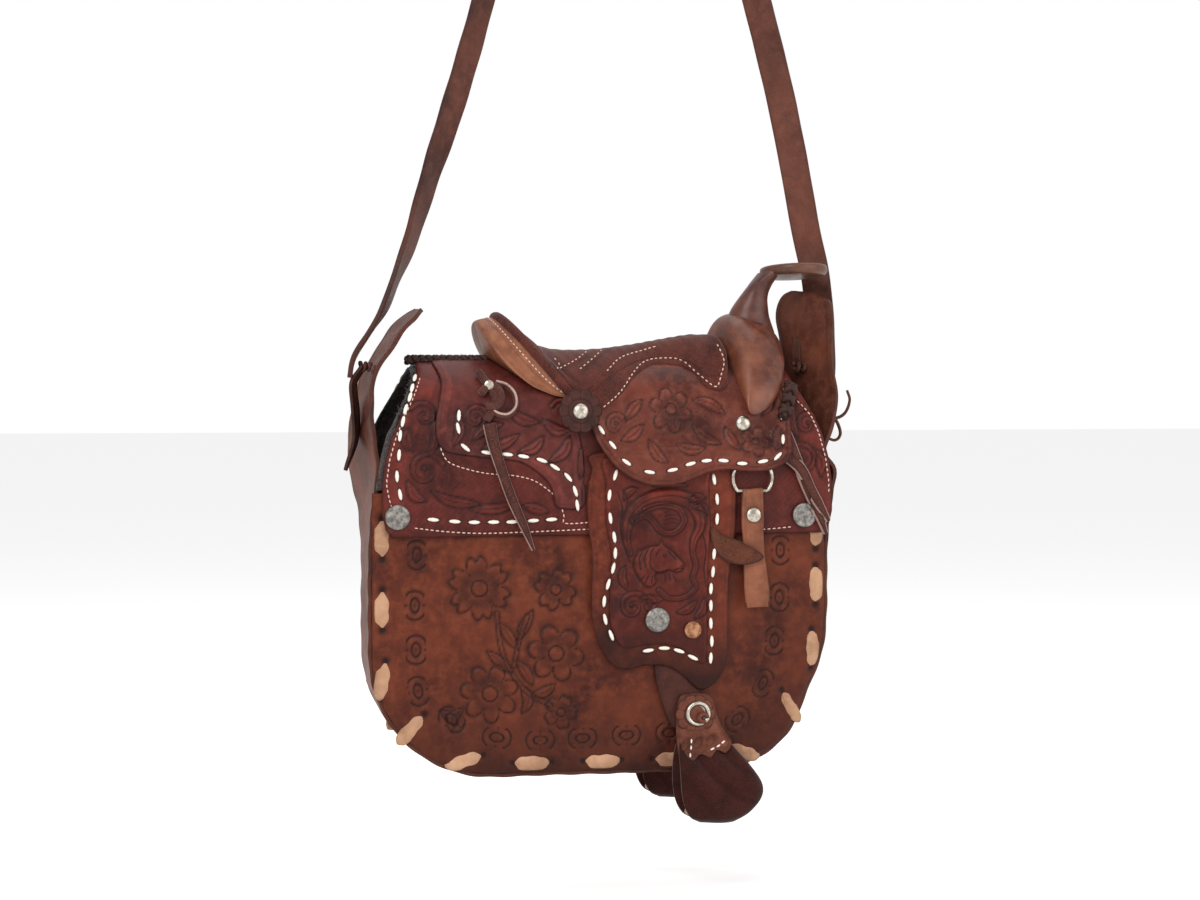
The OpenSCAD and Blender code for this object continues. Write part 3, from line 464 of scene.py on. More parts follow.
def behind(made, name, *nodes, slot, body):
    """The same piece on the back of the bag: mirrored, with its faces turned outwards again."""
    mesh = made.data.copy()
    mesh.name = name
    for vertex in mesh.vertices:
        vertex.co.y = -vertex.co.y
    mesh.flip_normals()
    twin = bpy.data.objects.new(name, mesh)
    bpy.context.scene.collection.objects.link(twin)
    for modifier in made.modifiers:
        if modifier.type in ("SOLIDIFY", "BEVEL"):
            copy = twin.modifiers.new(modifier.name, modifier.type)
            for key in ("thickness", "offset", "width", "segments", "limit_method", "angle_limit"):
                if hasattr(modifier, key):
                    setattr(copy, key, getattr(modifier, key))
    if nodes:
        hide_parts(*nodes)
    if body:
        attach(twin, body)
    return twin


def noise(tree, where, size_mm, detail, **more):
    """A cloud of values with spots of about a size."""
    inputs = {"Vector": where, "Scale": 1 / (size_mm * MM), "Detail": detail, **more}
    return add(tree, "ShaderNodeTexNoise", inputs).outputs["Fac"]


def ranged(tree, value, low, high, to_low=0.0, to_high=1.0):
    """A value spread from one range over another."""
    return add(tree, "ShaderNodeMapRange", {"Value": value, "From Min": low, "From Max": high,
                                            "To Min": to_low, "To Max": to_high}).outputs[0]


def mixed(tree, share, first, second):
    """Two colours mixed by a share of the second."""
    return add(tree, "ShaderNodeMix", {"Factor": share, "A": first, "B": second},
               data_type="RGBA").outputs["Result"]


def bumped(tree, height, strength, deep_mm):
    """Normals that follow a fine relief."""
    return add(tree, "ShaderNodeBump", {"Height": height, "Strength": strength,
                                        "Distance": deep_mm * MM}).outputs[0]


def darker(code, share):
    """A hex colour with only a share of its light."""
    return tuple(c * share for c in linear(code)[:3]) + (1,)


def surface(tree, out, colour, rough, normal):
    """The material's surface, linked to its output."""
    made = add(tree, "ShaderNodeBsdfPrincipled", {"Base Color": colour, "Roughness": rough, "Normal": normal})
    tree.links.new(made.outputs[0], out.inputs["Surface"])
    return made


def object_places(tree):
    """The piece's own coordinates, so that a pattern stays on it when it moves."""
    return add(tree, "ShaderNodeTexCoord").outputs["Object"]


def leather(name, colour, deep, pale=None, rough=0.55, grain=0.9, grain_depth=0.12):
    """Vegetable-tanned leather: blotchy dye, a fine pebbled grain, carved places dyed darker, and painted
    shade where a piece's carving darkens holes or low parts.
    """
    material, tree, out = new_material(name)
    where = object_places(tree)
    blotch = noise(tree, where, 38, 4.0, Roughness=0.6)
    fleck = noise(tree, where, 6, 5.0, Roughness=0.65)
    dyed = mixed(tree, ranged(tree, blotch, 0.35, 0.66), linear(deep), linear(colour))
    flecked = mixed(tree, ranged(tree, fleck, 0.45, 0.75, to_high=0.55), dyed, linear(pale or colour))
    # The dark attribute: dye in the carving, and painted shade in holes and on the lower parts of some
    # pieces.
    carved = add(tree, "ShaderNodeAttribute", attribute_name="dark").outputs["Fac"]
    shaded = mixed(tree, carved, flecked, darker(deep, 0.28))
    pebble = add(tree, "ShaderNodeTexVoronoi", {"Vector": where, "Scale": 1 / (grain * MM)}, feature="F1")
    pores = noise(tree, where, grain / 2.2, 3.0)
    relief = add(tree, "ShaderNodeMath", {0: pebble.outputs["Distance"], 1: pores}, operation="ADD")
    dull = ranged(tree, fleck, 0.3, 0.7, rough - 0.09, rough + 0.1)
    skin = surface(tree, out, shaded, dull, bumped(tree, relief.outputs[0], 0.5, grain_depth))
    skin.inputs["IOR"].default_value = 1.45
    skin.inputs["Specular IOR Level"].default_value = 0.17
    return material


def panel_half(h):
    """Half width of the panel at a height: straight sides and round bottom corners."""
    low = np.clip(corner_r - h, 0, corner_r)
    return half_w - corner_r + np.sqrt(np.maximum(corner_r ** 2 - low ** 2, 0))


panel_bulge = 2.5
corner_tuck = 9
back_tuck = 5


def tuck(x, y, h):
    """The bag hangs unevenly: its horn-side corner is rounder, and its back is a little narrower."""
    x = np.asarray(x, float)
    low = corner_tuck * np.exp(-((np.asarray(h) - 40) / 27) ** 2) * np.clip(x / half_w, 0, 1) ** 4
    rear = back_tuck * np.clip((np.asarray(y) + half_d) / (2 * half_d), 0, 1)
    rear = rear * np.clip(-x / half_w, 0, 1) ** 2 * np.clip((200 - np.asarray(h)) / 40, 0, 1)
    return x - low + rear


def panel_shape(sign):
    """The panel in the front or the back, a little fuller in the middle."""
    def shape_at(u, v):
        h = np.where(v < 0.9, v / 0.9 * 146, 146 + (v - 0.9) / 0.1 * (rim_h - 146))
        half = panel_half(h)
        x = (2 * u - 1) * half
        full = panel_bulge * np.cos(np.pi * x / (2 * half_w)) ** 2
        full = full * np.sin(np.pi * np.clip(h / 150, 0, 1)) ** 2
        soft = 1.3 * np.clip(1 - np.minimum(half - np.abs(x), h) / 5, 0, 1) ** 2

        def to_place(lift):
            return place(tuck(x, sign * half_d, h), sign * (half_d + full - soft + lift), h)
        return x, h, to_place
    return shape_at


lace_w = 9.4
lace_l = 24
lace_in = 6
lace_low_x = [-43, 0, 43]
lace_sides = {-1: ([141, 99, 57], [42, 75]), 1: ([144, 110, 71], [33, 72])}


def lace_places():
    """Places and directions of the stitches along one panel's edge."""
    spots = []
    bend_r = corner_r - lace_in
    for side, (heights, turns) in lace_sides.items():
        for h in heights:
            at_side = -half_w + lace_in if side < 0 else float(panel_half(np.array(h))) - lace_in
            spots.append((at_side, h, math.pi / 2 + (side * 0.16 if h < 80 else 0)))
        for turn in turns:
            a = math.radians(turn)
            spots.append((side * (half_w - corner_r + bend_r * math.cos(a)), corner_r - bend_r * math.sin(a),
                          math.pi / 2 + side * a))
    for x in lace_low_x:
        spots.append((x, lace_in, 0))
    return spots


flower_stems = [seen([(495, 612), (500, 650), (515, 680), (530, 695), (548, 705)]),
                seen([(525, 615), (517, 640), (512, 665)])]
flower_leaves = [[(515, 640), (524, 622), (530, 610)], [(516, 648), (506, 634), (498, 622)],
                 [(515, 660), (524, 672), (530, 684)], [(510, 672), (494, 657), (486, 650)],
                 [(530, 694), (542, 692), (552, 684)], [(520, 684), (526, 700), (520, 712)],
                 [(462, 706), (452, 716), (450, 728)], [(440, 708), (452, 716), (462, 724)]]
stamp_places = [(417, 553, 0), (415, 603, 0), (416, 647, 0), (418, 688, 0.2), (451, 717, 0.8),
                (495, 736, 1.4), (538, 740, 1.57), (580, 739, 1.57), (624, 737, 1.57), (668, 736, 1.57),
                (780, 553, 0), (779, 601, 0), (775, 645, 0), (766, 688, -0.35), (738, 724, -0.9)]


def stamp_border(work):
    """The row of border stamps down the sides and along the bottom."""
    for px, py, turn in stamp_places:
        (x, h), = seen([(px, py)])
        work.border_stamp(x, h, turn)


def ends_of(run, reach):
    """The two ends of each stitch, where its holes are."""
    return [(x + s * reach * math.cos(a), h + s * reach * math.sin(a)) for x, h, a in run for s in (-1, 1)]


def carve_panel(work):
    (x1, h1), (x2, h2), (x3, h3), (x4, h4), (x5, h5) = seen(
        [(478, 587), (553, 589), (553, 653), (488, 692), (558, 712)])
    for stem in flower_stems:
        work.stem(stem)
    for leaf in flower_leaves:
        work.leaf(seen(leaf), 3.0)
    work.flower(x1, h1, 20, 6, notch=0.2, turn=0.4)
    work.flower(x2, h2, 13.5, 4, notch=0.22, turn=0.5)
    work.flower(x3, h3, 17, 6, turn=0.2, heart=0.27)
    work.flower(x4, h4, 17.5, 7, turn=0.6, heart=0.26)
    work.flower(x5, h5, 10.5, 5, notch=0.1, turn=0.1)
    stamp_border(work)
    work.deepen(1.35, 1.5)
    work.hole(ends_of(lace_places(), lace_l / 2), 2.6)
    work.lift += 0.12 * np.sin(work.x * 0.21 + 2) * np.sin(work.h * 0.17)
    # Painted shade: the panel darkens towards its bottom and its right side.
    work.darken(0.75 * np.exp(-work.h / 34) + 0.22 * np.clip((work.x - 50) / 80, 0, 1))


saddle_tan = leather("carved_saddle_leather", "#682f1b", "#3a130b", "#7a3d25", rough=0.48)
front_panel = leather_sheet("front_panel_carved", 300, 160, panel_shape(-1), panel_t, carve_panel)
front_panel.data.materials.append(saddle_tan)
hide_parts("front_panel")
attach(front_panel, "bag")


# Back panel: the same leather and the same stamps, but only its borders are worked.
def mirrored(shape_at):
    """The same shape seen from the back, with its faces turned to point outwards."""
    def turned_at(u, v):
        return shape_at(1 - u, v)
    return turned_at


back_panel = leather_sheet("back_panel_stamped", 150, 90, mirrored(panel_shape(1)), panel_t, stamp_border)
back_panel.data.materials.append(saddle_tan)
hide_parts("back_panel")
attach(back_panel, "bag")


# Gusset: one long band of softer leather round the sides and bottom, which narrows above the rim into
# the two side tabs. Its edges are burnished, and it creases a little where it turns the corners.
tab_w = 44
tab_base_h = rim_h + 24
tab_rises = [0, 0.2, 0.38, 0.55, 0.7, 0.85, 0.95, 1]
tab_widths = [1.48, 1.3, 1.06, 0.9, 0.98, 1.04, 0.9, 0.5]
gusset_t = 2.4
gusset_w = 70.8
tab_side = half_w - gusset_t / 2


def tab_line(sign, ins, rise):
    """The middle line of a tab from its base to its tip."""
    return [(sign * (tab_side - half_w * i), tab_base_h + rise * r) for i, r in zip(ins, tab_rises)]


left_tab = tab_line(-1, [0, 0, 0.01, 0.03, 0.09, 0.15, 0.21, 0.245], 84)
right_tab = tab_line(1, [0, 0, 0, 0, 0.01, 0.02, 0.02, 0.015], 98)


def gusset_route():
    """Places, widths and turns along the whole band, from the left tab's tip to the right one's."""
    rows = []
    for (x, h), w, r in reversed(list(zip(left_tab, tab_widths, tab_rises))):
        rows.append((x, h, w * tab_w, 8 - 5 * min(1, r * 2)))
    for h, twist in ((180, 8), (168, 6), (150, 2), (125, 0), (100, 0), (80, 0)):
        rows.append((-tab_side, h, gusset_w, twist))
    for step in range(0, 10):
        a = math.radians(180 + step * 10)
        rows.append((-half_w + corner_r + (corner_r - gusset_t / 2) * math.cos(a),
                     corner_r + (corner_r - gusset_t / 2) * math.sin(a), gusset_w, 0))
    for x in (-33, 0, 33):
        rows.append((x, gusset_t / 2, gusset_w, 0))
    mirrored_rows = [(-x, h, w, 1.2 * t) for x, h, w, t in reversed(rows[len(left_tab):len(rows) - 3])]
    rows += mirrored_rows
    for (x, h), w, r in zip(right_tab, tab_widths, tab_rises):
        rows.append((x, h, w * tab_w, 33 * min(1, r * 2.5)))
    return np.array(rows, float)


def ribbon(name, route, across, width, thick, rows=6, crown=0.0, carve=None, bent=None):
    """A strap of leather: a grid swept along a route, with its width laid along a direction at each point."""
    count = len(route)
    along = np.gradient(route, axis=0)
    along /= np.linalg.norm(along, axis=1)[:, None]
    face = np.cross(along, across)
    face /= np.linalg.norm(face, axis=1)[:, None]
    side = np.cross(face, along)
    made, co = grid_piece(name, rows, count - 1)
    row = np.clip(np.round((co[:, 1] + 0.5) * (count - 1)).astype(int), 0, count - 1)
    share = 2 * co[:, 0]
    length = np.concatenate([[0], np.cumsum(np.linalg.norm(np.diff(route, axis=0), axis=1))])
    work = Carving(share * width[row] / 2, length[row])
    if carve:
        carve(work, width[row] / 2, length[-1])
    lift = crown * (1 - share ** 2) + work.lift
    spot = route[row] + side[row] * (share * width[row] / 2)[:, None]
    spot = spot + face[row] * (thick / 2 + lift)[:, None]
    if bent:
        spot[:, 0] = bent(spot[:, 0], spot[:, 1], spot[:, 2])
    edge = np.clip((np.abs(share) - 0.86) / 0.14, 0, 1) * 0.45
    lay(made, place(*spot.T), np.maximum(work.dark, edge))
    finish_sheet(made, thick, min(0.5, thick * 0.25))
    return made


rows = gusset_route()
band = resample(rows, 2.4)
lean = np.radians(band[:, 3])
gusset_across = np.stack([np.sin(lean), -np.cos(lean), 0 * lean], axis=-1)
gusset_line = np.stack([band[:, 0], 0 * lean, band[:, 1]], axis=-1)


def crease_gusset(work, half, whole):
    edge_gap = half - np.abs(work.x)
    work.cut(edge_gap - 3.2, 0.6, 0.35, 0.45)
    work.lift += 0.5 * np.sin(work.h * 0.09) * np.cos(work.x * 0.05)
    work.lift += 0.25 * np.sin(work.h * 0.31 + work.x * 0.13)
    work.lift -= 1.4 * np.cos(np.pi * work.x / (2 * np.maximum(half, 1)))


gusset = ribbon("gusset_band", gusset_line, gusset_across, band[:, 2], gusset_t, rows=28, carve=crease_gusset,
                bent=tuck)
gusset_hide = leather("gusset_leather", "#693a2b", "#43221a", "#7b4a38", rough=0.5)
gusset.data.materials.append(gusset_hide)
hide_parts("gusset")
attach(gusset, "bag")


# Edge lace: a flat pale lace, a little under 10 mm wide, run through punched holes along the panels'
# edges. Each stitch swells a little in its middle and dips into its holes.
def laced_edge(name, sign):
    """The lace stitches round the front panel's edge, or the back one's."""
    bm = bmesh.new()
    for x, h, turn in lace_places():
        made = bmesh.ops.create_grid(bm, x_segments=14, y_segments=8, size=0.5)
        c, s = math.cos(turn), math.sin(turn)
        for v in made["verts"]:
            a, b = v.co.x * 2, v.co.y * 2
            pinch = math.sqrt(max(1 - abs(a) ** 3.4, 0.02))
            crown = 1.9 * (1 - b ** 2 * 0.8) * (1 - a ** 4) - 1.0 * a ** 6 + 0.15 * math.sin(a * 9 + x)
            dx, dh = a * lace_l / 2, b * lace_w / 2 * pinch
            full = panel_bulge * math.cos(math.pi * x / (2 * half_w)) ** 2
            full *= math.sin(math.pi * min(max(h / 150, 0), 1)) ** 2
            to_x, to_h = x + dx * c - dh * s, h + dx * s + dh * c
            v.co = place(tuck(to_x, sign * half_d, to_h), sign * (half_d + full - 0.9 + crown), to_h)
    if sign > 0:
        bmesh.ops.reverse_faces(bm, faces=bm.faces)
    smooth_faces(bm.faces)
    made = link(name, bm)
    finish_sheet(made, 1.2)
    return made


lace_stuff = leather("pale_calf_lace", "#b58c6d", "#86604a", "#c39e81", rough=0.62, grain=0.7)
for name, node_name, sign in (("front_lace", "front_edge_lace", -1), ("back_lace", "back_edge_lace", 1)):
    lace = laced_edge(name, sign)
    lace.data.materials.append(lace_stuff)
    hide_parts(node_name)
    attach(lace, "bag")


# Skirt: one sheet of oxblood leather over the top of the bag and down both sides. The front hangs
# free below the saddle and is lifted to open the bag. Tooled with scrolls, stitched round its edge.
arch_h = 204
skirt_r = 42
skirt_low_h = 142
skirt_t = 2.4
skirt_w = 276
skirt_shift = 4.5
skirt_tall = 104
over_ridge = arch_h + skirt_r * math.pi / 2
back_foot = arch_h + skirt_r * math.pi
skirt_edge = [(0, 0.955), (0.04, 0.985), (0.13, 1), (0.3, 1), (0.44, 0.985), (0.58, 0.955), (0.7, 0.915),
              (0.8, 0.875), (0.9, 0.84), (1.01, 0.82)]
bend_h = 203


def over_bag(x, hu, lift):
    """A place on the skirt: flat up the front, round the arch and flat down the back."""
    turn = np.clip((hu - arch_h) / skirt_r, 0, math.pi)
    r = skirt_r + lift
    y = -r * np.cos(turn)
    past_arch = np.where(hu > back_foot, arch_h - (hu - back_foot), arch_h + r * np.sin(turn))
    return place(x, y, np.where(hu < arch_h, hu, past_arch))


def height_at(hu):
    """The height of a place on the unrolled skirt, up to the ridge."""
    turn = np.clip((hu - arch_h) / skirt_r, 0, math.pi / 2)
    return np.where(hu < arch_h, hu, arch_h + skirt_r * np.sin(turn))


def unrolled(points, r=skirt_r):
    """Front-view points as flat places on the unrolled skirt."""
    return [(x, h if h < arch_h else arch_h + skirt_r * math.asin(min((h - arch_h) / r, 1)))
            for x, h in points]


def skirt_half(h):
    """Half the skirt's width at a height."""
    shares = np.array(skirt_edge)
    return skirt_w / 2 * np.interp((h - skirt_low_h) / skirt_tall, shares[:, 0], shares[:, 1])


def sheet_edge(work, gap, width=1.6, drop=0.7):
    """Rounds and darkens a sheet near its cut edge."""
    near = np.exp(-(gap / width) ** 2)
    work.lift -= drop * near
    work.darken(0.55 * near)


def skirt_shape(u, v):
    """The front of the skirt, from its lower edge up to the ridge."""
    hu = skirt_low_h + v * (over_ridge - skirt_low_h)
    h = height_at(hu)
    x = (2 * u - 1) * skirt_half(h) + skirt_shift

    def to_place(lift):
        curl = 1.2 * np.exp(-(hu - skirt_low_h) / 8) * np.sin(x * 0.035)
        return over_bag(x, hu, lift + curl)
    return x, hu, to_place


def scroll(work, x, h, r, turns, start, sense=1, half=1.3):
    """A stem that winds into a spiral and ends in a bud."""
    t = np.linspace(0, 1, 26)
    a = start + sense * turns * 2 * math.pi * t
    rr = r * (1 - 0.86 * t)
    path = np.stack([x + rr * np.cos(a), h + rr * np.sin(a)], axis=-1)
    gap, share = work.near(resample(path, 1.2))
    work.shape(gap - half * (1.25 - 0.6 * share), 0.4, bevel=1.8, depth=0.6)
    work.shape(np.hypot(work.x - path[-1, 0], work.h - path[-1, 1]) - r * 0.17, 0.5, bevel=1.2, depth=0.5)


def scrolls(work, table):
    """Scrolls at photo places on the skirt."""
    for px, py, r, turns, start, sense in table:
        (x, h), = unrolled(seen([(px, py)]))
        scroll(work, x, h, r, turns, start, sense)


def matting(work, inside, depth):
    """Background stamped down with a fine matting tool."""
    dots = np.sin(work.x * 4.1 + 0.7 * np.sin(work.h * 1.3)) * np.sin(work.h * 3.9)
    flat = (work.lift < 0.12) & inside
    work.lift -= np.where(flat, depth * (0.7 + 0.3 * dots), 0)
    work.darken(np.where(flat, 0.32 + 0.16 * dots, 0))


bold_left = seen([(418, 378), (414, 388), (411, 397), (406, 409), (403, 421), (400, 435), (399, 454),
                  (397, 475), (400, 493)])
bold_low = seen([(432, 518), (453, 520), (472, 521), (491, 521), (509, 521), (530, 520), (548, 519)])
bold_inner = seen([(457, 416), (456, 428), (463, 447), (484, 452), (504, 454), (520, 456), (538, 460),
                   (551, 467), (564, 477), (571, 491), (573, 505)])
edge_stitch = [seen([(405, 378), (397, 405), (390, 440), (386, 470), (389, 495), (394, 512)]),
               seen([(413, 526), (445, 530), (480, 532), (530, 531), (588, 529)]),
               seen([(782, 388), (803, 408), (818, 430), (828, 455), (831, 480), (829, 495)]),
               seen([(743, 531), (765, 531), (790, 529)])]


def run_of(points):
    """Each bold stitch as its middle and direction, following its neighbours."""
    p = np.array(points, float)
    d = np.gradient(p, axis=0)
    return [(x, h, math.atan2(dh, dx)) for (x, h), (dx, dh) in zip(p, d)]


flat_bold = run_of(unrolled(bold_left)) + run_of(bold_low)


def stitches_along(path, pitch, shift=0.5):
    """Evenly spaced stitches along a curve, as middles and directions."""
    fine = resample(path, 0.8)
    length = np.concatenate([[0], np.cumsum(np.linalg.norm(np.diff(fine, axis=0), axis=1))])
    count = max(1, int(length[-1] / pitch))
    spots = []
    for k in range(count):
        at = (k + shift) * length[-1] / count
        x, h = (np.interp(at, length, fine[:, i]) for i in (0, 1))
        x2, h2 = (np.interp(at + 0.5, length, fine[:, i]) for i in (0, 1))
        x1, h1 = (np.interp(at - 0.5, length, fine[:, i]) for i in (0, 1))
        spots.append((x, h, math.atan2(h2 - h1, x2 - x1)))
    return spots


def thread(name, spots, to_place, long, wide, high, stuff, lift=0.0):
    """Stitches of thread or lace that lie on a surface: one small rounded grain each."""
    bm = bmesh.new()
    for x, h, turn in spots:
        dx, dh = math.cos(turn) * long / 2, math.sin(turn) * long / 2
        xs = np.array([x - dx, x + dx, x, x])
        hs = np.array([h - dh, h + dh, h, h])
        lifts = np.array([lift, lift, lift, lift + 1])
        a, b, base, up = (Vector(p) for p in to_place(xs, hs, lifts))
        along = (b - a).normalized()
        out = (up - base).normalized()
        side = out.cross(along).normalized()
        turn_to = Matrix((along, side, out)).transposed().to_4x4()
        size = Matrix.Diagonal((long / 2 * MM, wide / 2 * MM, high * MM, 1))
        spot = Matrix.Translation(base) @ turn_to @ size
        bmesh.ops.create_uvsphere(bm, u_segments=8, v_segments=6, radius=1, matrix=spot)
    smooth_faces(bm.faces)
    made = link(name, bm)
    made.data.materials.append(stuff)
    return made


def waxed_thread(name, colour, rough=0.55):
    """Waxed linen or flat lace: one clean colour with a twist just visible as a fine bump."""
    material, tree, out = new_material(name)
    where = object_places(tree)
    tone = mixed(tree, noise(tree, where, 7, 3.0), linear(colour), darker(colour, 0.72))
    strands = noise(tree, where, 0.9, 2.0)
    surface(tree, out, tone, rough, bumped(tree, strands, 0.5, 0.1))
    return material


def carve_skirt(work):
    half = skirt_half(height_at(work.h))
    scrolls(work, [(425, 470, 11, 1.3, 0.4, 1), (424, 415, 9, 1.1, 2.6, -1), (800, 462, 11, 1.3, 2.6, -1),
                   (806, 425, 8, 1.1, 0.4, 1)])
    for leaf in ([(428, 455), (436, 436), (432, 410)], [(412, 450), (406, 440), (408, 428)],
                 [(430, 490), (450, 500), (478, 504)], [(468, 508), (492, 508), (515, 503)],
                 [(520, 505), (532, 508), (545, 512)], [(425, 500), (414, 494), (408, 480)],
                 [(796, 440), (790, 420), (792, 400)], [(812, 450), (820, 462), (820, 478)]):
        work.leaf(unrolled(seen(leaf)), 3.2)
    work.deepen(1.4, 1.6)
    matting(work, (np.abs(work.x - skirt_shift) < half - 13) & (work.h < 262), 0.16)
    sheet_edge(work, half - np.abs(work.x - skirt_shift))
    sheet_edge(work, work.h - skirt_low_h)
    work.hole(ends_of(flat_bold, 3.4))
    for path in edge_stitch:
        gap, _ = work.near(resample(unrolled(path), 1.5))
        work.cut(gap, 0.8, 0.3, 0.45)


oxblood = leather("oxblood_carved_leather", "#64261f", "#39130f", "#78352c", rough=0.44)
skirt = leather_sheet("skirt_front_carved", 250, 124, skirt_shape, skirt_t, carve_skirt)
skirt.data.materials.append(oxblood)
skirt_behind = behind(skirt, "skirt_rear_carved", slot="skirt_leather", body="bag")
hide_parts("skirt_saddle", "skirt_flap")
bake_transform(skirt)
bold_lace = waxed_thread("white_lacing", "#efe6da")
fine_thread = waxed_thread("pink_linen_thread", "#d9b3a2")


def front_and_rear(name, spots, to_place, size, stuff, split, fronts=("flap", "bag"), rears=("bag", "bag")):
    """Stitches on the front and the same ones on the back; split is the height where their body changes."""
    for part, some, front, rear in (("low", [p for p in spots if p[1] < split], fronts[0], rears[0]),
                                    ("high", [p for p in spots if p[1] >= split], fronts[1], rears[1])):
        if some:
            made = thread(name + "_" + part, some, to_place, *size, stuff)
            behind(made, name + "_" + part + "_rear", slot="lace", body=rear)
            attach(made, front)


bold_size = (7.4, 2.4, 1.0)
fine_size = (2.3, 0.85, 0.45)
front_and_rear("skirt_bold_stitches", flat_bold, over_bag, bold_size, bold_lace, bend_h)


def within_skirt(spots, margin):
    """Stitches held inside the skirt's side edges."""
    kept = []
    for x, hu, turn in spots:
        reach = float(skirt_half(height_at(hu))) - margin
        kept.append((min(max(x, skirt_shift - reach), skirt_shift + reach), hu, turn))
    return kept


fine_skirt = within_skirt([spot for path in edge_stitch for spot in stitches_along(unrolled(path), 3.1)], 2.4)
front_and_rear("skirt_edge_stitches", fine_skirt, over_bag, fine_size, fine_thread, bend_h)


# Ridge braid: a dark flat thong plaited along the top, where the front and rear skirts are laced
# together. It shows at both ends of the saddle.
braid_reach = 113
strands = 3


def join_rings(bm, rings):
    """Faces between each ring of vertices and the next."""
    sides = len(rings[0])
    for low_ring, high_ring in zip(rings[:-1], rings[1:]):
        for k in range(sides):
            after = (k + 1) % sides
            bm.faces.new((low_ring[k], low_ring[after], high_ring[after], high_ring[k]))


def tube(name, paths, radius, sides=8, taper=0.0):
    """Round cords swept along paths, with closed ends."""
    bm = bmesh.new()
    for path in paths:
        p = np.array(path, float)
        along = np.gradient(p, axis=0)
        along /= np.linalg.norm(along, axis=1)[:, None]
        guide = np.array([0.31, 0.52, 0.79])
        rings = []
        for k, (spot, d) in enumerate(zip(p, along)):
            side = np.cross(d, guide)
            side /= np.linalg.norm(side)
            up = np.cross(side, d)
            share = k / (len(p) - 1)
            r = radius * (1 - taper * share)
            ring = [bm.verts.new(place(*(spot + r * (side * math.cos(a) + up * math.sin(a)))))
                    for a in np.linspace(0, 2 * math.pi, sides, endpoint=False)]
            rings.append(ring)
        join_rings(bm, rings)
        bm.faces.new(reversed(rings[0]))
        bm.faces.new(rings[-1])
    bmesh.ops.recalc_face_normals(bm, faces=bm.faces)
    smooth_faces(bm.faces)
    return link(name, bm)


def plait(middle, wide, deep, pitch, count=strands):
    """Strands that cross one another along a middle line, with a sideways and an outward direction."""
    spots, side, out = middle
    length = np.concatenate([[0], np.cumsum(np.linalg.norm(np.diff(spots, axis=0), axis=1))])
    paths = []
    for k in range(count):
        phase = 2 * math.pi * (length / pitch + k / count)
        sideways = side * (wide * np.sin(phase))[:, None]
        paths.append(spots + sideways + out * (deep * np.sin(2 * phase))[:, None])
    return paths


x = np.linspace(-braid_reach, braid_reach, 300)
ridge = np.stack([x, 0 * x, 0 * x + arch_h + skirt_r + 1.2], axis=-1)
across = np.array([0.0, 1.0, 0.0])
upward = np.array([0.0, 0.0, 1.0])
dark_thong = leather("dark_braided_thong", "#3d2621", "#241614", "#553a32", rough=0.55)
ridge_braid = tube("ridge_braid", plait((ridge, across, upward), 3.4, 1.5, 13), 1.8)
ridge_braid.data.materials.append(dark_thong)
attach(ridge_braid, "bag")


# Overlay: a second, lighter red layer behind the cantle with a stepped lower edge, sewn down with
# bold white lacing.
overlay_t = 1.5
overlay_edge = [(-93, 246), (-97, 232), (-101.5, 212), (-101.5, 201), (-96, 193), (-82, 190), (-65, 188),
                (-51, 186), (-39.5, 179), (-32.5, 171), (-29.5, 160), (-24, 158), (-13, 159), (-12, 172),
                (-13, 194), (-18, 215), (-23, 246)]


def over_skirt(base):
    """A function that lays unrolled places on a layer at a height over the skirt."""
    def to_place(x, h, lift):
        return over_bag(x, h, base + lift)
    return to_place


def carve_overlay(work):
    sheet_edge(work, work.edge, 1.3, 0.5)
    for leaf in ([(470, 440), (484, 428), (500, 424)], [(480, 448), (500, 444), (516, 434)],
                 [(515, 452), (530, 448), (540, 436)], [(545, 462), (560, 452), (566, 436)],
                 [(576, 478), (580, 462), (578, 446)], [(582, 515), (584, 500), (580, 484)],
                 [(452, 445), (458, 430), (456, 412)], [(540, 420), (552, 430), (566, 430)],
                 [(505, 410), (520, 420), (536, 422)]):
        work.leaf(unrolled(seen(leaf)), 3.4)
    scrolls(work, [(474, 418, 8, 1.2, 0.2, 1), (560, 410, 7, 1.1, 2.8, -1)])
    work.deepen(1.4, 1.6)
    matting(work, work.edge > 6.5, 0.14)
    work.hole(ends_of(run_of(unrolled(bold_inner)), 3.3))
    work.cut(work.edge - 2.6, 0.7, 0.3, 0.4)


overlay_red = leather("red_overlay_leather", "#6a2e28", "#431b18", "#7f4038", rough=0.42)
overlay = cut_sheet("overlay_front_carved", unrolled(overlay_edge), 0.9, over_skirt(1.6), overlay_t,
                    carve_overlay)
overlay.data.materials.append(overlay_red)
behind(overlay, "overlay_rear_carved", slot="overlay_leather", body="bag")
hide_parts("overlay_flap", "overlay_rear")
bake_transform(overlay)
front_and_rear("overlay_bold_stitches", run_of(unrolled(bold_inner)), over_skirt(1.7), bold_size, bold_lace,
               bend_h)
inner_line = seen([(448, 370), (441, 420), (439, 440), (441, 452), (450, 463), (480, 472), (510, 475),
                   (530, 480), (545, 490), (555, 500), (560, 515), (562, 523), (590, 522)])
front_and_rear("overlay_fine_stitches", stitches_along(unrolled(inner_line), 3.0), over_skirt(0.3),
               fine_size, fine_thread, bend_h)


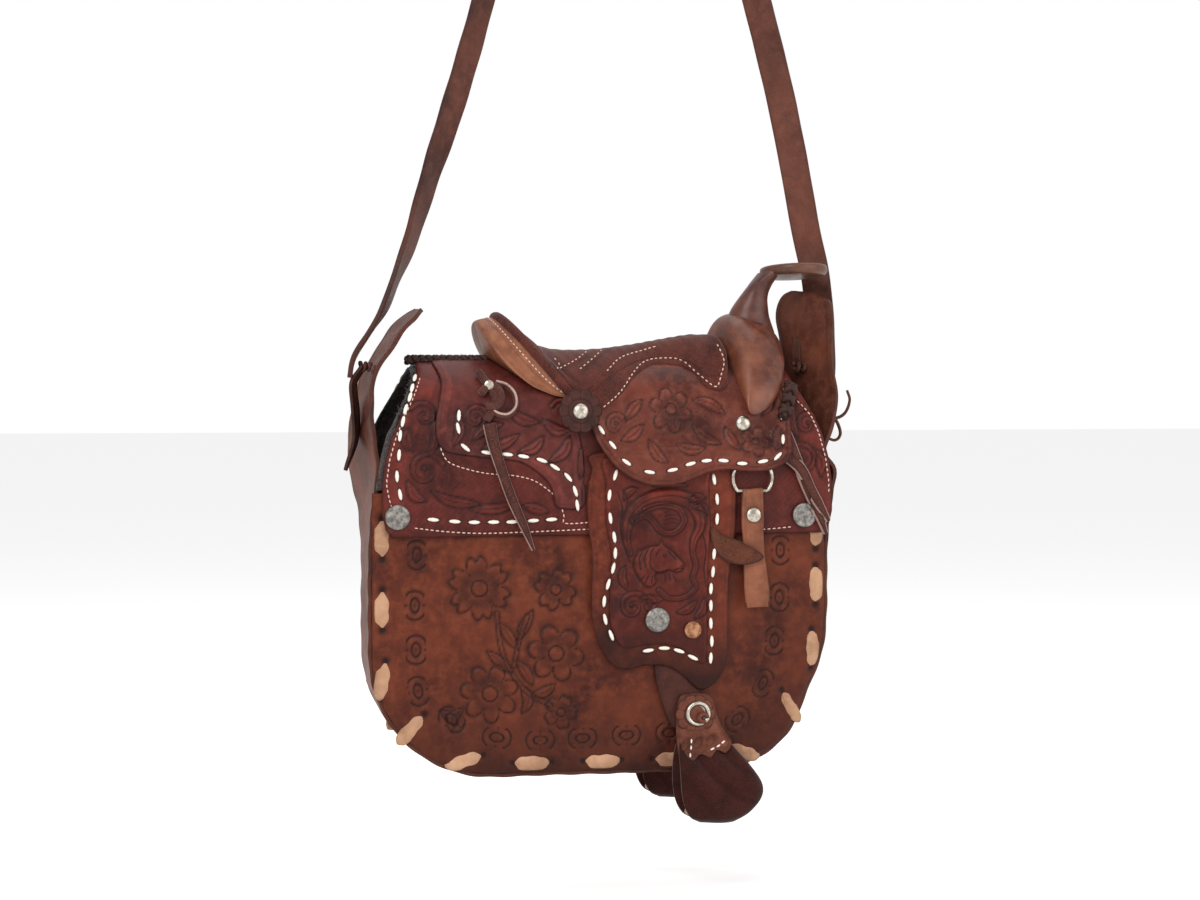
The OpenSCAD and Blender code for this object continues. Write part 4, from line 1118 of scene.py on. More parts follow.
# Jockeys: shaped brown leather under the seat on both sides, tooled with flowers and edged with white
# lacing. On the front its lower edge stands off the skirt, over the fender and the cinch ring.
jockey_t = 2.2
jockey_edge = [(-17, 238), (-15, 222), (-9, 209), (-4, 196), (3.5, 185), (13, 177.5), (25, 172.6),
               (37.6, 171.6), (50, 174.5), (62.6, 179.3), (74, 181), (85, 180), (97, 180), (107, 183),
               (113.5, 189), (115.4, 204), (113, 223), (111.5, 236), (110, 246), (60, 246.1), (0, 246.1)]
jockey_bold = seen([(598, 430), (608, 445), (621, 462), (644, 472), (667, 470), (685, 464), (701, 461),
                    (718, 461), (737, 464), (758, 462), (773, 457), (780, 440), (779, 415)], outer_mid)
jockey_r = 46
jockey_up = 4.4
jockey_run = run_of(unrolled(jockey_bold, jockey_r))
jockey_size = (7.0, 2.3, 0.9)


def jockey_off(h):
    """How far the front jockey's lower part stands off the skirt."""
    return 5.6 * np.clip((204 - h) / 12, 0, 1) ** 1.3


def on_jockey(x, h, lift):
    """A place on the front jockey."""
    return over_bag(x, h, jockey_up + jockey_off(h) + lift)


def on_rear_jockey(x, h, lift):
    """A place on the rear jockey, which lies close to the skirt."""
    return over_bag(x, h, jockey_up + lift)


def carve_jockey(work):
    sheet_edge(work, work.edge, 1.4, 0.7)
    work.cut(work.edge - 3.0, 0.6, 0.35, 0.5)
    (x1, h1), (x2, h2), (x3, h3) = unrolled(seen([(668, 410), (752, 442), (612, 425)], outer_mid), jockey_r)
    work.flower(x1, h1, 13, 6, turn=0.3, heart=0.26)
    work.flower(x2, h2, 9, 5, turn=0.1)
    for points in ([(640, 425), (628, 436), (618, 440)], [(645, 440), (652, 455), (662, 462)],
                   [(690, 425), (702, 438), (716, 444)], [(692, 400), (708, 404), (722, 414)],
                   [(640, 400), (630, 410), (622, 420)], [(672, 445), (686, 450), (700, 448)],
                   [(760, 415), (768, 405), (772, 392)], [(735, 450), (728, 440), (722, 428)],
                   [(768, 430), (775, 440), (772, 450)]):
        work.leaf(unrolled(seen(points, outer_mid), jockey_r), 3.2)
    scroll(work, x3, h3, 6.5, 1.1, 0.5)
    work.deepen(1.3, 1.35)
    # Painted shade: the jockey darkens towards its lower edge, which stands off the skirt.
    work.darken(0.5 * np.exp(-np.maximum(work.h - 176, 0) / 14))
    matting(work, work.edge > 8, 0.14)
    work.hole(ends_of(jockey_run, 3.3))


jockey_brown = leather("brown_jockey_leather", "#74382a", "#421b15", "#8d503f", rough=0.38)
jockey_flat = unrolled(jockey_edge, jockey_r)
jockey = cut_sheet("jockey_front_carved", jockey_flat, 0.9, on_jockey, jockey_t, carve_jockey)
jockey.data.materials.append(jockey_brown)
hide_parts("jockey_flap", "jockey_saddle")
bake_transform(jockey)
rear_jockey = cut_sheet("jockey_unturned", jockey_flat, 0.9, on_rear_jockey, jockey_t, carve_jockey)
rear_jockey.data.materials.append(jockey_brown)
behind(rear_jockey, "jockey_rear_carved", slot="jockey_leather", body="bag")
bpy.data.objects.remove(rear_jockey)
front_only = thread("jockey_bold_stitches", [p for p in jockey_run if p[1] < bend_h], on_jockey,
                    *jockey_size, bold_lace)
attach(front_only, "flap")
front_high = thread("jockey_high_stitches", [p for p in jockey_run if p[1] >= bend_h], on_jockey,
                    *jockey_size, bold_lace)
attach(front_high, "bag")
rear_bold = thread("jockey_stitches_unturned", jockey_run, on_rear_jockey, *jockey_size, bold_lace)
behind(rear_bold, "jockey_rear_stitches", slot="lace", body="bag")
bpy.data.objects.remove(rear_bold)


# Seat: padded, covered in dark red-brown suede, dished between the cantle and the swell. It is narrow
# in its middle, and two ears come down in front beside the swell. Quilted and edged with fine stitches.
def formed(name, across, up, at, thick=0.0, carve=None):
    """A shaped face laid by at(u, v); with no thickness its open borders are welded into a closed body."""
    made, co = grid_piece(name, across, up)
    mesh = made.data
    u = np.clip(co[:, 0] + 0.5, 0, 1)
    v = np.clip(co[:, 1] + 0.5, 0, 1)
    spots = at(u, v)
    e = 1e-3
    du = at(np.clip(u + e, 0, 1), v) - at(np.clip(u - e, 0, 1), v)
    dv = at(u, np.clip(v + e, 0, 1)) - at(u, np.clip(v - e, 0, 1))
    normal = np.cross(du, dv)
    normal /= np.maximum(np.linalg.norm(normal, axis=1), 1e-9)[:, None]
    inward = (normal * (spots - spots.mean(0))).sum() < 0
    if inward:
        normal = -normal
    work = Carving(spots[:, 0], spots[:, 2])
    work.u, work.v = u, v
    if carve:
        carve(work)
    spots = spots + normal * work.lift[:, None]
    lay(made, place(*spots.T), work.dark)
    bm = bmesh.new()
    bm.from_mesh(mesh)
    if inward:
        bmesh.ops.reverse_faces(bm, faces=bm.faces)
    if not thick:
        bmesh.ops.remove_doubles(bm, verts=bm.verts, dist=0.02 * MM)
    bm.to_mesh(mesh)
    bm.free()
    if thick:
        finish_sheet(made, thick)
    for face in mesh.polygons:
        face.use_smooth = True
    return made


seat_foot = [(-19, 224.2), (-10, 216.5), (0, 217.5), (11.3, 226.2), (22.6, 238.2), (33, 244.2), (42.3, 245),
             (52, 243.5), (58.5, 239.5), (62, 233), (66.3, 229.6), (73, 229), (77.6, 233), (79.6, 243)]
seat_top = [(-58.5, 272.5), (-49, 268), (-38, 258.5), (-22, 253.8), (2, 254), (24, 256.6), (38, 259),
            (49, 261), (57, 262.3), (62, 263), (66, 263), (70, 262.5), (74, 262), (77, 261)]
pair_count = len(seat_foot)


def smooth_step(s):
    """A share that starts and ends slowly."""
    return s * s * (3 - 2 * s)


def folded(v):
    """The share from either side up to the ridge, and which side it is: -1 in front, 1 behind."""
    return 1 - np.abs(2 * v - 1), np.where(v < 0.5, -1.0, 1.0)


def pairs_at(table, w):
    """A table of points read at shares of its rows, smoothly."""
    fine = resample([(k, ) + tuple(p) for k, p in enumerate(table)], 0.25)
    return [np.interp(w * (pair_count - 1), fine[:, 0], fine[:, k]) for k in (1, 2)]


seat_r = 47.2


def seat_at(u, v):
    """Along the seat and across it, from the front edge over the top to the rear edge."""
    xe, he = pairs_at(seat_foot, u)
    xt, ht = pairs_at(seat_top, u)
    s, side = folded(v)
    low = np.arcsin(np.clip((he - arch_h) / seat_r, 0, 1))
    turn = low + s * (math.pi / 2 - low)
    full = 2.6 * np.sin(math.pi * np.clip(s * 1.15, 0, 1)) * (1 - 0.4 * u)
    r = seat_r - 1.6 * np.clip(1 - s / 0.05, 0, 1) ** 2 + (ht - arch_h - seat_r) * smooth_step(s) + full
    ear = np.clip((u - 0.72) / 0.2, 0, 1)
    r = r + 10 * smooth_step(ear) * np.exp(-((np.degrees(turn) - 58) / 19) ** 2)
    h = arch_h + r * np.sin(turn)
    rise = np.clip((h - he) / np.maximum(ht - he, 1), 0, 1)
    x = xe + (xt - xe) * rise
    return np.stack([x, side * r * np.cos(turn), h], axis=-1)


def quilt(work):
    """Stitched lines pull the padding in, and the suede wrinkles softly between them; painted shade darkens
    the grooves and the wrinkles.
    """
    s, _ = folded(work.v)
    # The stitched grooves and the wrinkles are darkened as painted shade.
    for gap in (work.u - 0.075, (1 - work.u) - 0.05, s - 0.16):
        work.lift -= 0.8 * np.exp(-(gap / 0.016) ** 2)
        work.darken(0.35 * np.exp(-(gap / 0.012) ** 2))
    for path in ([(556, 370), (574, 362), (592, 352)], [(577, 371), (592, 361), (608, 350)],
                 [(540, 352), (556, 372), (572, 384)]):
        gap, _ = work.near(resample(seen(path, 598), 1.5))
        work.cut(gap, 1.4, 0.7, 0.3)
    work.lift += 0.35 * np.sin(work.x * 0.24 + 1.1 * np.sin(work.h * 0.19)) * np.sin(math.pi * s)
    work.lift += 0.15 * np.sin(work.x * 0.83 + work.h * 0.57)


def suede(name, colour, deep, pale):
    """Napped suede: dull and velvety, with lighter brushed patches and darker ones; its dark attribute adds
    dark edges and painted shade in creases and folds.
    """
    material, tree, out = new_material(name)
    where = object_places(tree)
    brushed = noise(tree, where, 13, 5.0, Roughness=0.62, Distortion=0.6)
    tone = mixed(tree, ranged(tree, brushed, 0.34, 0.68), linear(deep), linear(colour))
    nap = noise(tree, where, 0.8, 4.0)
    napped = mixed(tree, ranged(tree, nap, 0.42, 0.7, to_high=0.45), tone, linear(pale))
    # worn carries the dark attribute: darker cut edges, and painted shade in creases, folds and the hood's
    # sole.
    worn = add(tree, "ShaderNodeAttribute", attribute_name="dark").outputs["Fac"]
    shaded = mixed(tree, worn, napped, darker(deep, 0.35))
    cloth = surface(tree, out, shaded, 0.92, bumped(tree, nap, 0.7, 0.25))
    cloth.inputs["Specular IOR Level"].default_value = 0.15
    cloth.inputs["Sheen Weight"].default_value = 0.12
    cloth.inputs["Sheen Roughness"].default_value = 0.45
    return material


seat = formed("suede_seat", 150, 96, seat_at, thick=3.5, carve=quilt)
seat_stuff = suede("dark_red_suede", "#53271f", "#361714", "#6c4035")
seat.data.materials.append(seat_stuff)
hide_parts("seat")
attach(seat, "bag")


def on_face(made):
    """A function that lays front-view places on a piece's front, by looking at it from the front."""
    tree = BVHTree.FromObject(made, bpy.context.evaluated_depsgraph_get())

    def to_place(xs, hs, lifts):
        spots = []
        for x, h, lift in zip(np.ravel(xs), np.ravel(hs), np.ravel(lifts)):
            hit, normal, _, _ = tree.ray_cast(Vector(place(x, -150, h)), Vector((0, 1, 0)))
            if hit is None:
                hit, normal, _, _ = tree.find_nearest(Vector(place(x, -60, h)))
            if normal.y > 0:
                normal = -normal
            spots.append(hit + normal * lift * MM)
        return np.array(spots)
    return to_place


seat_lines = [[(506, 323), (520, 341), (535, 358), (555, 380)],
              [(597, 408), (615, 393), (633, 372), (648, 361), (670, 358), (685, 361), (698, 375), (712, 387),
               (718, 375), (721, 360), (716, 343)],
              [(556, 369), (574, 361), (592, 351)], [(577, 370), (592, 360), (608, 349)],
              [(553, 357), (557, 365), (552, 370)], [(604, 372), (622, 358), (648, 350), (662, 346)]]
spots = [spot for line in seat_lines for spot in stitches_along(seen(line, 602), 3.0)]
seat_stitches = thread("seat_stitches", spots, on_face(seat), 2.1, 0.85, 0.45, fine_thread)
behind(seat_stitches, "seat_rear_stitches", slot="lace", body="bag")
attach(seat_stitches, "bag")


# Cantle: the tall back of the seat, a rawhide dish covered behind in smooth tan leather, with a
# thick roll of the seat's suede over its rim and a row of stitches beside it.


rim_foot_h = 224.4
rim_top_h = 272.5


def rim_at(s):
    """The cantle's rim on one side: x, distance from the arch's middle and turn, from its foot to its top."""
    turn = np.radians(25.5 + s * 64.5)
    r = seat_r + (rim_top_h - arch_h - seat_r) * smooth_step(s) + 1.2 * np.sin(math.pi * s)
    h = arch_h + r * np.sin(turn)
    x = -19 - 39.5 * np.clip((h - rim_foot_h) / (rim_top_h - rim_foot_h), 0, 1)
    return x, r, turn


lip_line = resample([(0, 0), (0.1, 12), (0.25, 19), (0.5, 20.5), (0.8, 17), (1, 15)], 0.3)
lip_share, lip_wide = lip_line[:, 0], lip_line[:, 1]


def cantle_at(u, v):
    """From the rim back over a broad lip and down to the skirt, and across from the front to the rear."""
    s, side = folded(v)
    x0, r0, turn = rim_at(s)
    lip = np.interp(s, lip_share, lip_wide)
    corner = 4.2
    a, b, c = (1 - u) ** 2, 2 * corner * u * (1 - u), u ** 2
    whole = a + b + c
    x = (a * x0 + b * (x0 - lip) + c * (x0 - lip * 0.4)) / whole
    r = (a * (r0 + 0.6) + b * (r0 - 0.6 - 1.5 * (1 - s)) + c * 44.2) / whole
    low_turn = turn - np.radians(8) * np.sin(math.pi * s) * u
    return np.stack([x, side * r * np.cos(low_turn), arch_h + r * np.sin(low_turn)], axis=-1)


def carve_cantle(work):
    s, _ = folded(work.v)
    work.cut(work.u * 40 - 4.0, 0.5, 0.2, 0.35)
    work.darken(0.35 * np.exp(-((work.u - 0.42) / 0.1) ** 2) * (1 - 0.5 * s))
    work.darken(0.3 * np.exp(-((1 - work.u) / 0.05) ** 2))
    work.lift += 0.12 * np.sin(work.x * 0.6 + s * 9)


cantle = formed("cantle_shell", 60, 110, cantle_at, thick=2.6, carve=carve_cantle)
cantle.data.materials.append(leather("tan_cantle_leather", "#8e5a3f", "#63392a", "#a06c50", rough=0.45))
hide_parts("cantle")
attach(cantle, "bag")


def binding_path(lift):
    """The line over the cantle's rim, from its front foot to its rear one."""
    s = np.concatenate([np.linspace(0, 1, 60), np.linspace(1, 0, 60)[1:]])
    side = np.concatenate([-np.ones(60), np.ones(59)])
    x, r, turn = rim_at(s)
    r += lift
    return np.stack([x, side * r * np.cos(turn), arch_h + r * np.sin(turn)], axis=-1)


binding = tube("cantle_binding_roll", [resample(binding_path(0.8), 1.2)], 3.0, sides=14)
binding.data.materials.append(seat_stuff)
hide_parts("cantle_binding")
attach(binding, "bag")
rim_share = np.linspace(0.01, 0.99, 200)
rim_u = np.full(200, 0.06)
rim_line = resample(cantle_at(rim_u, rim_share), 2.9)
behind_line = resample(cantle_at(rim_u + 0.04, rim_share), 2.9)
bm = bmesh.new()
for k in range(1, min(len(rim_line), len(behind_line)) - 1):
    along = Vector(rim_line[k + 1] - rim_line[k - 1]).normalized()
    out = along.cross(Vector(behind_line[k] - rim_line[k])).normalized()
    if out.dot(Vector(rim_line[k] - np.array([-30, 0, arch_h]))) < 0:
        out = -out
    frame_of = Matrix((along, out.cross(along), out)).transposed().to_4x4()
    size = Matrix.Diagonal((1.05 * MM, 0.42 * MM, 0.38 * MM, 1))
    base = Vector(place(*rim_line[k])) + out * 0.1 * MM
    bmesh.ops.create_uvsphere(bm, u_segments=7, v_segments=5, radius=1,
                              matrix=Matrix.Translation(base) @ frame_of @ size)
smooth_faces(bm.faces)
rim_stitches = link("cantle_rim_stitches", bm)
rim_stitches.data.materials.append(fine_thread)
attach(rim_stitches, "bag")


# Swell: the wooden fork of the saddle, covered in one piece of wet-formed brown leather that is
# stretched smooth over it and seamed below the horn.
def swell_at(u, v):
    """Round the section and across the saddle, like a ball bent over the arch."""
    a = 2 * math.pi * u
    b = -np.cos(math.pi * v)
    ring = np.sin(math.pi * v) ** 0.84
    flank = np.where(np.cos(a) < 0, 6 * np.sin(math.pi * np.abs(b)), 0)
    x = 94 + 3.5 * b ** 2 - 8 * b ** 10
    x = x + ring * ((23.5 - flank - 7 * b ** 4) * np.cos(a) + 1.5 * np.cos(2 * a))
    y = 50.5 * b * (1 - 0.06 * ring * np.sin(a))
    h = 251.5 - 33 * np.abs(b) ** 2.6 + ring * 25 * np.sin(a) * (1 - 0.1 * b ** 2)
    return np.stack([x, y, h], axis=-1)


def crease_swell(work):
    work.lift += 0.25 * np.sin(work.x * 0.19 + work.h * 0.11) + 0.12 * np.sin(work.h * 0.43 - work.x * 0.3)


def smooth_leather(name, colour, deep, rough=0.34, grain=1.4):
    """Wet-formed leather, rubbed and polished: soft highlights, faint pores and a few darker rubs."""
    material = leather(name, colour, deep, rough=rough, grain=grain, grain_depth=0.05)
    skin = next(n for n in material.node_tree.nodes if n.type == "BSDF_PRINCIPLED")
    skin.inputs["Coat Weight"].default_value = 0.22
    skin.inputs["Coat Roughness"].default_value = 0.28
    return material


swell = formed("formed_swell", 72, 80, swell_at, carve=crease_swell)
swell_skin = smooth_leather("polished_swell_leather", "#824d38", "#4c281f", rough=0.36)
swell.data.materials.append(swell_skin)
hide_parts("swell")
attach(swell, "bag")


# Horn: a neck that leans forward and flares into a broad flat cap, covered in dark leather. The cap's
# leather is a separate disc, stitched round its rim.
def lofted(rings):
    """A surface through flat oval rings: each is x, y, height, radius along, radius across and a tilt."""
    table = np.array(rings, float)
    back = 0.09

    def at(u, v):
        row = v * (len(table) - 1)
        cx, cy, ch, rx, ry, tilt = (np.interp(row, np.arange(len(table)), table[:, k]) for k in range(6))
        a = 2 * math.pi * u
        x = rx * np.cos(a)
        y = ry * np.sin(a)
        return np.stack([cx + x, cy + y, ch + x * tilt - y * back], axis=-1)
    return at


neck_rings = [(98, -3, 264, 18, 16, 0), (99.3, -4, 273, 13.4, 12.5, 0), (100, -5, 279, 11.5, 11, 0),
              (101.5, -6, 285, 9.4, 9.6, 0.05), (103.7, -7, 290, 8.6, 9.2, 0.15),
              (107, -8, 295, 9.2, 10.4, 0.28), (112, -8, 299.3, 11.6, 12.2, 0.3),
              (117, -8, 302.3, 12.5, 13.5, 0.12)]
horn = formed("horn_neck_covered", 56, 48, lofted(resample(neck_rings, 0.8)))
horn_skin = smooth_leather("dark_horn_leather", "#6d4034", "#402520", rough=0.4)
horn.data.materials.append(horn_skin)
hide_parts("horn")
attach(horn, "bag")
cap_rings = [(127.3, -8, h, r, r, 0.02)
             for h, r in ((298.6, 0.1), (298.6, 17), (299.2, 19.3), (300.8, 20.7), (303.2, 20.9),
                          (304.6, 20.1), (305.3, 17), (305.6, 8), (305.6, 0.1))]
horn_cap = formed("horn_cap_disc", 72, 60, lofted(resample(cap_rings, 0.7)))
horn_cap.data.materials.append(smooth_leather("worn_cap_leather", "#66402f", "#3f2720", rough=0.44))
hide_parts("horn_cap")
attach(horn_cap, "bag")


# Fenders: long leather aprons that hang from under the jockeys. Their middle is a dark red overlay
# carved with a big scroll and a horse's head, edged with white lacing.
fender_edge = [(-2, 192), (-7.8, 180.8), (-10.6, 165.9), (-10, 147.4), (-7.5, 129), (-8, 97.7), (-4.4, 79.2),
               (2, 67.5), (7.8, 62.2), (14, 61.3), (25, 63.3), (37.6, 62.8), (47, 58), (57.5, 48.5), (64, 49),
               (71, 55), (75.9, 67.5), (76.3, 92), (77.3, 119), (81, 147.4), (81.4, 180.8), (79, 192)]
fender_inner = [(3, 190), (0.5, 172), (0.8, 150), (4, 129), (2.8, 97.7), (5.5, 83), (12, 74.6), (25, 76),
                (38, 76), (49, 71.6), (60.5, 64), (63, 76), (63.5, 119), (65, 147), (64, 172), (62, 190)]
fender_y = 44.4
fender_bend_h = 168


def before(depth, sway=0.35):
    """A function that lays flat places on an upright plane at a depth before the bag's middle."""
    def to_place(x, h, lift):
        swell_out = sway * np.sin(np.asarray(h) * 0.043 + np.asarray(x) * 0.021)
        return place(x, -(depth + lift + swell_out), h)
    return to_place


def carve_fender(work):
    sheet_edge(work, work.edge, 1.4, 0.6)
    work.cut(work.edge - 2.6, 0.6, 0.3, 0.4)
    # Painted shade darkens the fender towards its bottom; low_left is a darker patch near its lower left
    # corner.
    low_left = np.exp(-((work.x - 2) ** 2 + (work.h - 78) ** 2) / 20 ** 2)
    work.darken(0.9 * np.exp(-np.maximum(work.h - 56, 0) / 26))
    work.darken(0.85 * low_left)


def carve_fender_inner(work):
    outer = resample(seen([(627, 554), (623, 536), (627, 517), (637, 505), (652, 498), (670, 496), (687, 502),
                           (696, 515), (697, 528), (691, 541), (690, 554), (693, 567), (690, 579), (693, 589),
                           (682, 598), (666, 599), (656, 591)], outer_mid), 1.0)
    gap, share = work.near(outer)
    work.shape(gap - 4.4 * (0.35 + 0.75 * np.sin(math.pi * np.clip(share * 1.5, 0, 1))), 0.6, 2.2, 0.9)
    work.cut(gap, 0.5, 0.35, 0.5)
    curl = resample(seen([(630, 522), (641, 516), (650, 522), (656, 530), (666, 534), (676, 530), (681, 520),
                          (676, 510), (666, 506), (654, 506), (642, 510)], outer_mid), 1.0)
    gap, share = work.near(curl)
    work.shape(gap - 1.9, 0.5, 2.0, 0.8)
    work.cut(gap, 0.45, 0.3, 0.6)
    for y in (513, 517, 521, 525):
        work.line(seen([(661, y), (668, y - 2), (675, y)], outer_mid), 0.4, 0.3, 0.6)
    work.patch(seen([(655, 545), (658, 541), (661, 545), (668, 550), (675, 557), (681, 564), (681, 568),
                     (678, 572), (673, 573), (666, 571), (659, 573), (652, 575), (653, 583), (645, 588),
                     (637, 580), (631, 569), (631, 560), (636, 551), (645, 547)], outer_mid), 0.85, 2.2, 1.0)
    (eye_x, eye_h), (nose_x, nose_h) = seen([(661, 556), (678.5, 567)], outer_mid)
    work.cut(np.abs(np.hypot(work.x - eye_x, (work.h - eye_h) * 1.4) - 1.1), 0.4, 0.4, 0.8)
    work.hole([(nose_x, nose_h)], 0.6)
    for line in ([(671, 571), (676, 569), (681, 570)], [(646, 562), (648, 569), (656, 574), (664, 572)],
                 [(640, 550), (636, 559), (637, 570)], [(645, 549), (641, 558), (642, 568)],
                 [(651, 548), (647, 554), (647, 561)], [(656, 550), (652, 556)], [(664, 552), (672, 560)],
                 [(641, 576), (636, 582)], [(645, 576), (642, 583)], [(649, 577), (648, 584)],
                 [(662, 575), (662, 582)], [(666, 575), (667, 582)], [(670, 576), (673, 582)],
                 [(614, 492), (619, 508), (617, 526), (621, 546), (627, 562)],
                 [(619, 490), (624, 500), (622, 514)], [(700, 536), (703, 552), (701, 570), (703, 588)]):
        work.line(seen(line, outer_mid), 0.5, 0.4, 0.7)
    for leaf in ([(686, 503), (694, 498), (702, 499)], [(690, 508), (700, 508), (704, 516)],
                 [(634, 488), (626, 492), (621, 500)], [(650, 486), (668, 483), (684, 486)],
                 [(674, 614), (685, 611), (694, 602)], [(640, 596), (650, 600), (660, 600)],
                 [(622, 566), (619, 578), (624, 590)], [(702, 600), (700, 612), (692, 620)]):
        work.leaf(seen(leaf, outer_mid), 2.6, 0.5)
    (x, h), (x2, h2) = seen([(630, 607), (646, 606)], outer_mid)
    scroll(work, x, h, 9, 1.3, 0.6)
    scroll(work, x2, h2, 5.5, 1.1, 2.4, -1)
    work.deepen(1, 1.5)
    matting(work, work.edge > 2.5, 0.26)
    sheet_edge(work, work.edge, 1.2, 0.5)
    # Painted shade: the carved overlay darkens towards its bottom.
    work.darken(0.7 * np.exp(-np.maximum(work.h - 80, 0) / 22))
    work.lift = np.maximum(work.lift, -0.95)


bold_fender = seen([(612, 475), (606, 495), (607, 518), (611, 537), (612, 553), (610, 568), (605, 584),
                    (601, 601), (602, 619), (608, 635)], outer_mid)
bold_fender_right = seen([(711, 480), (714, 500), (714, 520), (711, 555), (710, 573), (708, 590), (708, 607),
                          (708, 625), (709, 643), (708, 660)], outer_mid)
bold_fender_foot = seen([(645, 651), (661, 649), (676, 652), (690, 659)], outer_mid)
fender_hide = leather("orange_brown_fender_leather", "#6b2c1b", "#35110a", "#7f3d27", rough=0.46)
fender = cut_sheet("fender_front_sheet", fender_edge, 1.1, before(fender_y), 2.0, carve_fender)
fender.data.materials.append(fender_hide)
fender_behind = behind(fender, "fender_rear_sheet", "fender_rear", "fender_hanger_rear",
                       slot="fender_leather", body=None)
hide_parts("fender_front", "fender_hangers_flap")
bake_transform(fender)
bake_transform(fender_behind)
inner = cut_sheet("fender_front_carved", fender_inner, 0.5, before(fender_y + 1.4), 1.2, carve_fender_inner)
inner.data.materials.append(leather("dark_red_carved_leather", "#68251b", "#3a110c", "#7f3a2a", rough=0.38))
inner_behind = behind(inner, "fender_rear_carved", "fender_overlay_rear", slot="fender_overlay_leather",
                      body=None)
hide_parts("fender_overlay_front")
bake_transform(inner)
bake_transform(inner_behind)
fender_bold = run_of(bold_fender) + run_of(bold_fender_right) + run_of(bold_fender_foot)
front_and_rear("fender_bold_stitches", fender_bold, before(fender_y + 1.6), bold_size, bold_lace,
               fender_bend_h, ("fender_front", "flap"), ("fender_rear", "bag"))


# Metal caps: domed nickel rivets and conchos, flat snap caps with a turned ring, all a little
# scratched and tarnished, and one brass rivet on each fender.
def metal(name, colour, dull, rough):
    """Plated metal: worn patches, fine scratches and a darker film in the corners."""
    material, tree, out = new_material(name)
    where = object_places(tree)
    film = noise(tree, where, 3, 5.0, Roughness=0.7)
    tone = mixed(tree, ranged(tree, film, 0.4, 0.62), linear(dull), linear(colour))
    polish = ranged(tree, film, 0.35, 0.65, rough + 0.16, rough)
    stretch = add(tree, "ShaderNodeMapping", {"Vector": where, "Scale": (1.0, 1.0, 7.0)})
    scratch = noise(tree, stretch.outputs[0], 0.5, 2.0)
    plate = surface(tree, out, tone, polish, bumped(tree, scratch, 0.25, 0.05))
    plate.inputs["Metallic"].default_value = 1.0
    return material


def turned(name, profile, spot, stuff):
    """A round fitting turned to a profile of radius and rise, set on the front at x, depth and height."""
    bm = bmesh.new()
    cx, cy, ch = spot
    turns = np.linspace(0, 2 * math.pi, 40, endpoint=False)
    rings = []
    for r, rise in profile:
        rings.append([bm.verts.new(place(cx + r * math.cos(a), cy - rise, ch + r * math.sin(a)))
                      for a in turns])
    join_rings(bm, rings)
    bm.faces.new(rings[-1])
    bm.faces.new(rings[0])
    bmesh.ops.recalc_face_normals(bm, faces=bm.faces)
    smooth_faces(bm.faces)
    made = link(name, bm)
    made.data.materials.append(stuff)
    return made


def dome_profile(r, rise, rim=0.5):
    """A low dome that starts with a rounded rim."""
    steps = np.linspace(0, 1, 9)
    return [(r, 0)] + [(r * math.cos(t * math.pi / 2 * 0.98), rim + (rise - rim) * math.sin(t * math.pi / 2))
                       for t in steps]


nickel = metal("bright_nickel_plate", "#beb6aa", "#847b70", 0.26)
old_nickel = metal("tarnished_nickel_plate", "#8d8983", "#5c5854", 0.42)
brass = metal("worn_brass", "#a87a5c", "#74503a", 0.5)
rosette_x, rosette_h, rosette_y = -16.5, 216.5, -51.4
cap_profile = [(7.5, 0), (7.5, 0.7), (7.1, 1.2), (6.2, 1.5), (5.3, 1.35), (5.0, 1.1), (4.6, 1.35), (3.2, 1.8),
               (1.5, 2.0), (0.1, 2.05)]
flat_profile = [(7.5, 0), (7.5, 0.8), (7.0, 1.4), (5.6, 1.8), (3.4, 2.1), (1.4, 2.2), (0.1, 2.2)]
ring_profile = [(7.6, 0), (7.8, 0.8), (7.3, 1.7), (6.2, 2.0), (5.3, 1.5), (5.0, 0.5), (4.8, 0.3), (0.1, 0.3)]
round_caps = [
    ("snap_cap_left", ["snap_caps"], [], flat_profile, (-124.5, -42.8, 154), old_nickel,
     "flap", None, "dark_nickel"),
    ("snap_cap_right", [], [], cap_profile, (124.5, -42.8, 153), old_nickel, "flap", None, "dark_nickel"),
    ("jockey_rivet", ["jockey_rivets"], [], dome_profile(4.75, 3.0), (85.2, -44.9, 208.8), nickel,
     "bag", "bag", "nickel"),
    ("rosette_concho", ["rosette_conchos"], [], dome_profile(4.75, 2.6),
     (rosette_x, rosette_y - 1.8, rosette_h), nickel, "bag", "bag", "nickel"),
    ("fender_snap", ["fender_studs_front"], ["fender_studs_rear"], flat_profile,
     (32, -fender_y - 1.5, 91), old_nickel, "fender_front", "fender_rear", "nickel"),
    ("fender_brass_rivet", [], [], dome_profile(5.2, 1.4), (54, -fender_y - 1.5, 84.5), brass,
     "fender_front", "fender_rear", "nickel"),
    ("stirrup_ring_concho", ["stirrup_concho_front"], ["stirrup_concho_rear"], ring_profile,
     (57, -46.8, 34), nickel, "stirrup_front", "stirrup_rear", "nickel"),
]
for name, node_names, rear_nodes, profile, spot, stuff, front, rear, slot in round_caps:
    cap = turned(name, profile, spot, stuff)
    if node_names:
        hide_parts(*node_names)
    if rear:
        behind(cap, name + "_behind", *rear_nodes, slot=slot, body=rear)
    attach(cap, front)


# Rosettes: scalloped discs of leather under the conchos, with a groove round each petal. The dark ones
# end the cantle, on a round backing that stands on the skirt; the tan ones sit on the stirrups' necks.
def scallops(x, h, r, petals):
    """The outline of a disc with scalloped edges."""
    turns = np.linspace(0, 2 * math.pi, petals * 8, endpoint=False)
    rr = r * (0.9 + 0.1 * np.abs(np.cos(turns * petals / 2)) ** 0.6)
    return [(x + q * math.cos(a), h + q * math.sin(a)) for a, q in zip(turns, rr)]


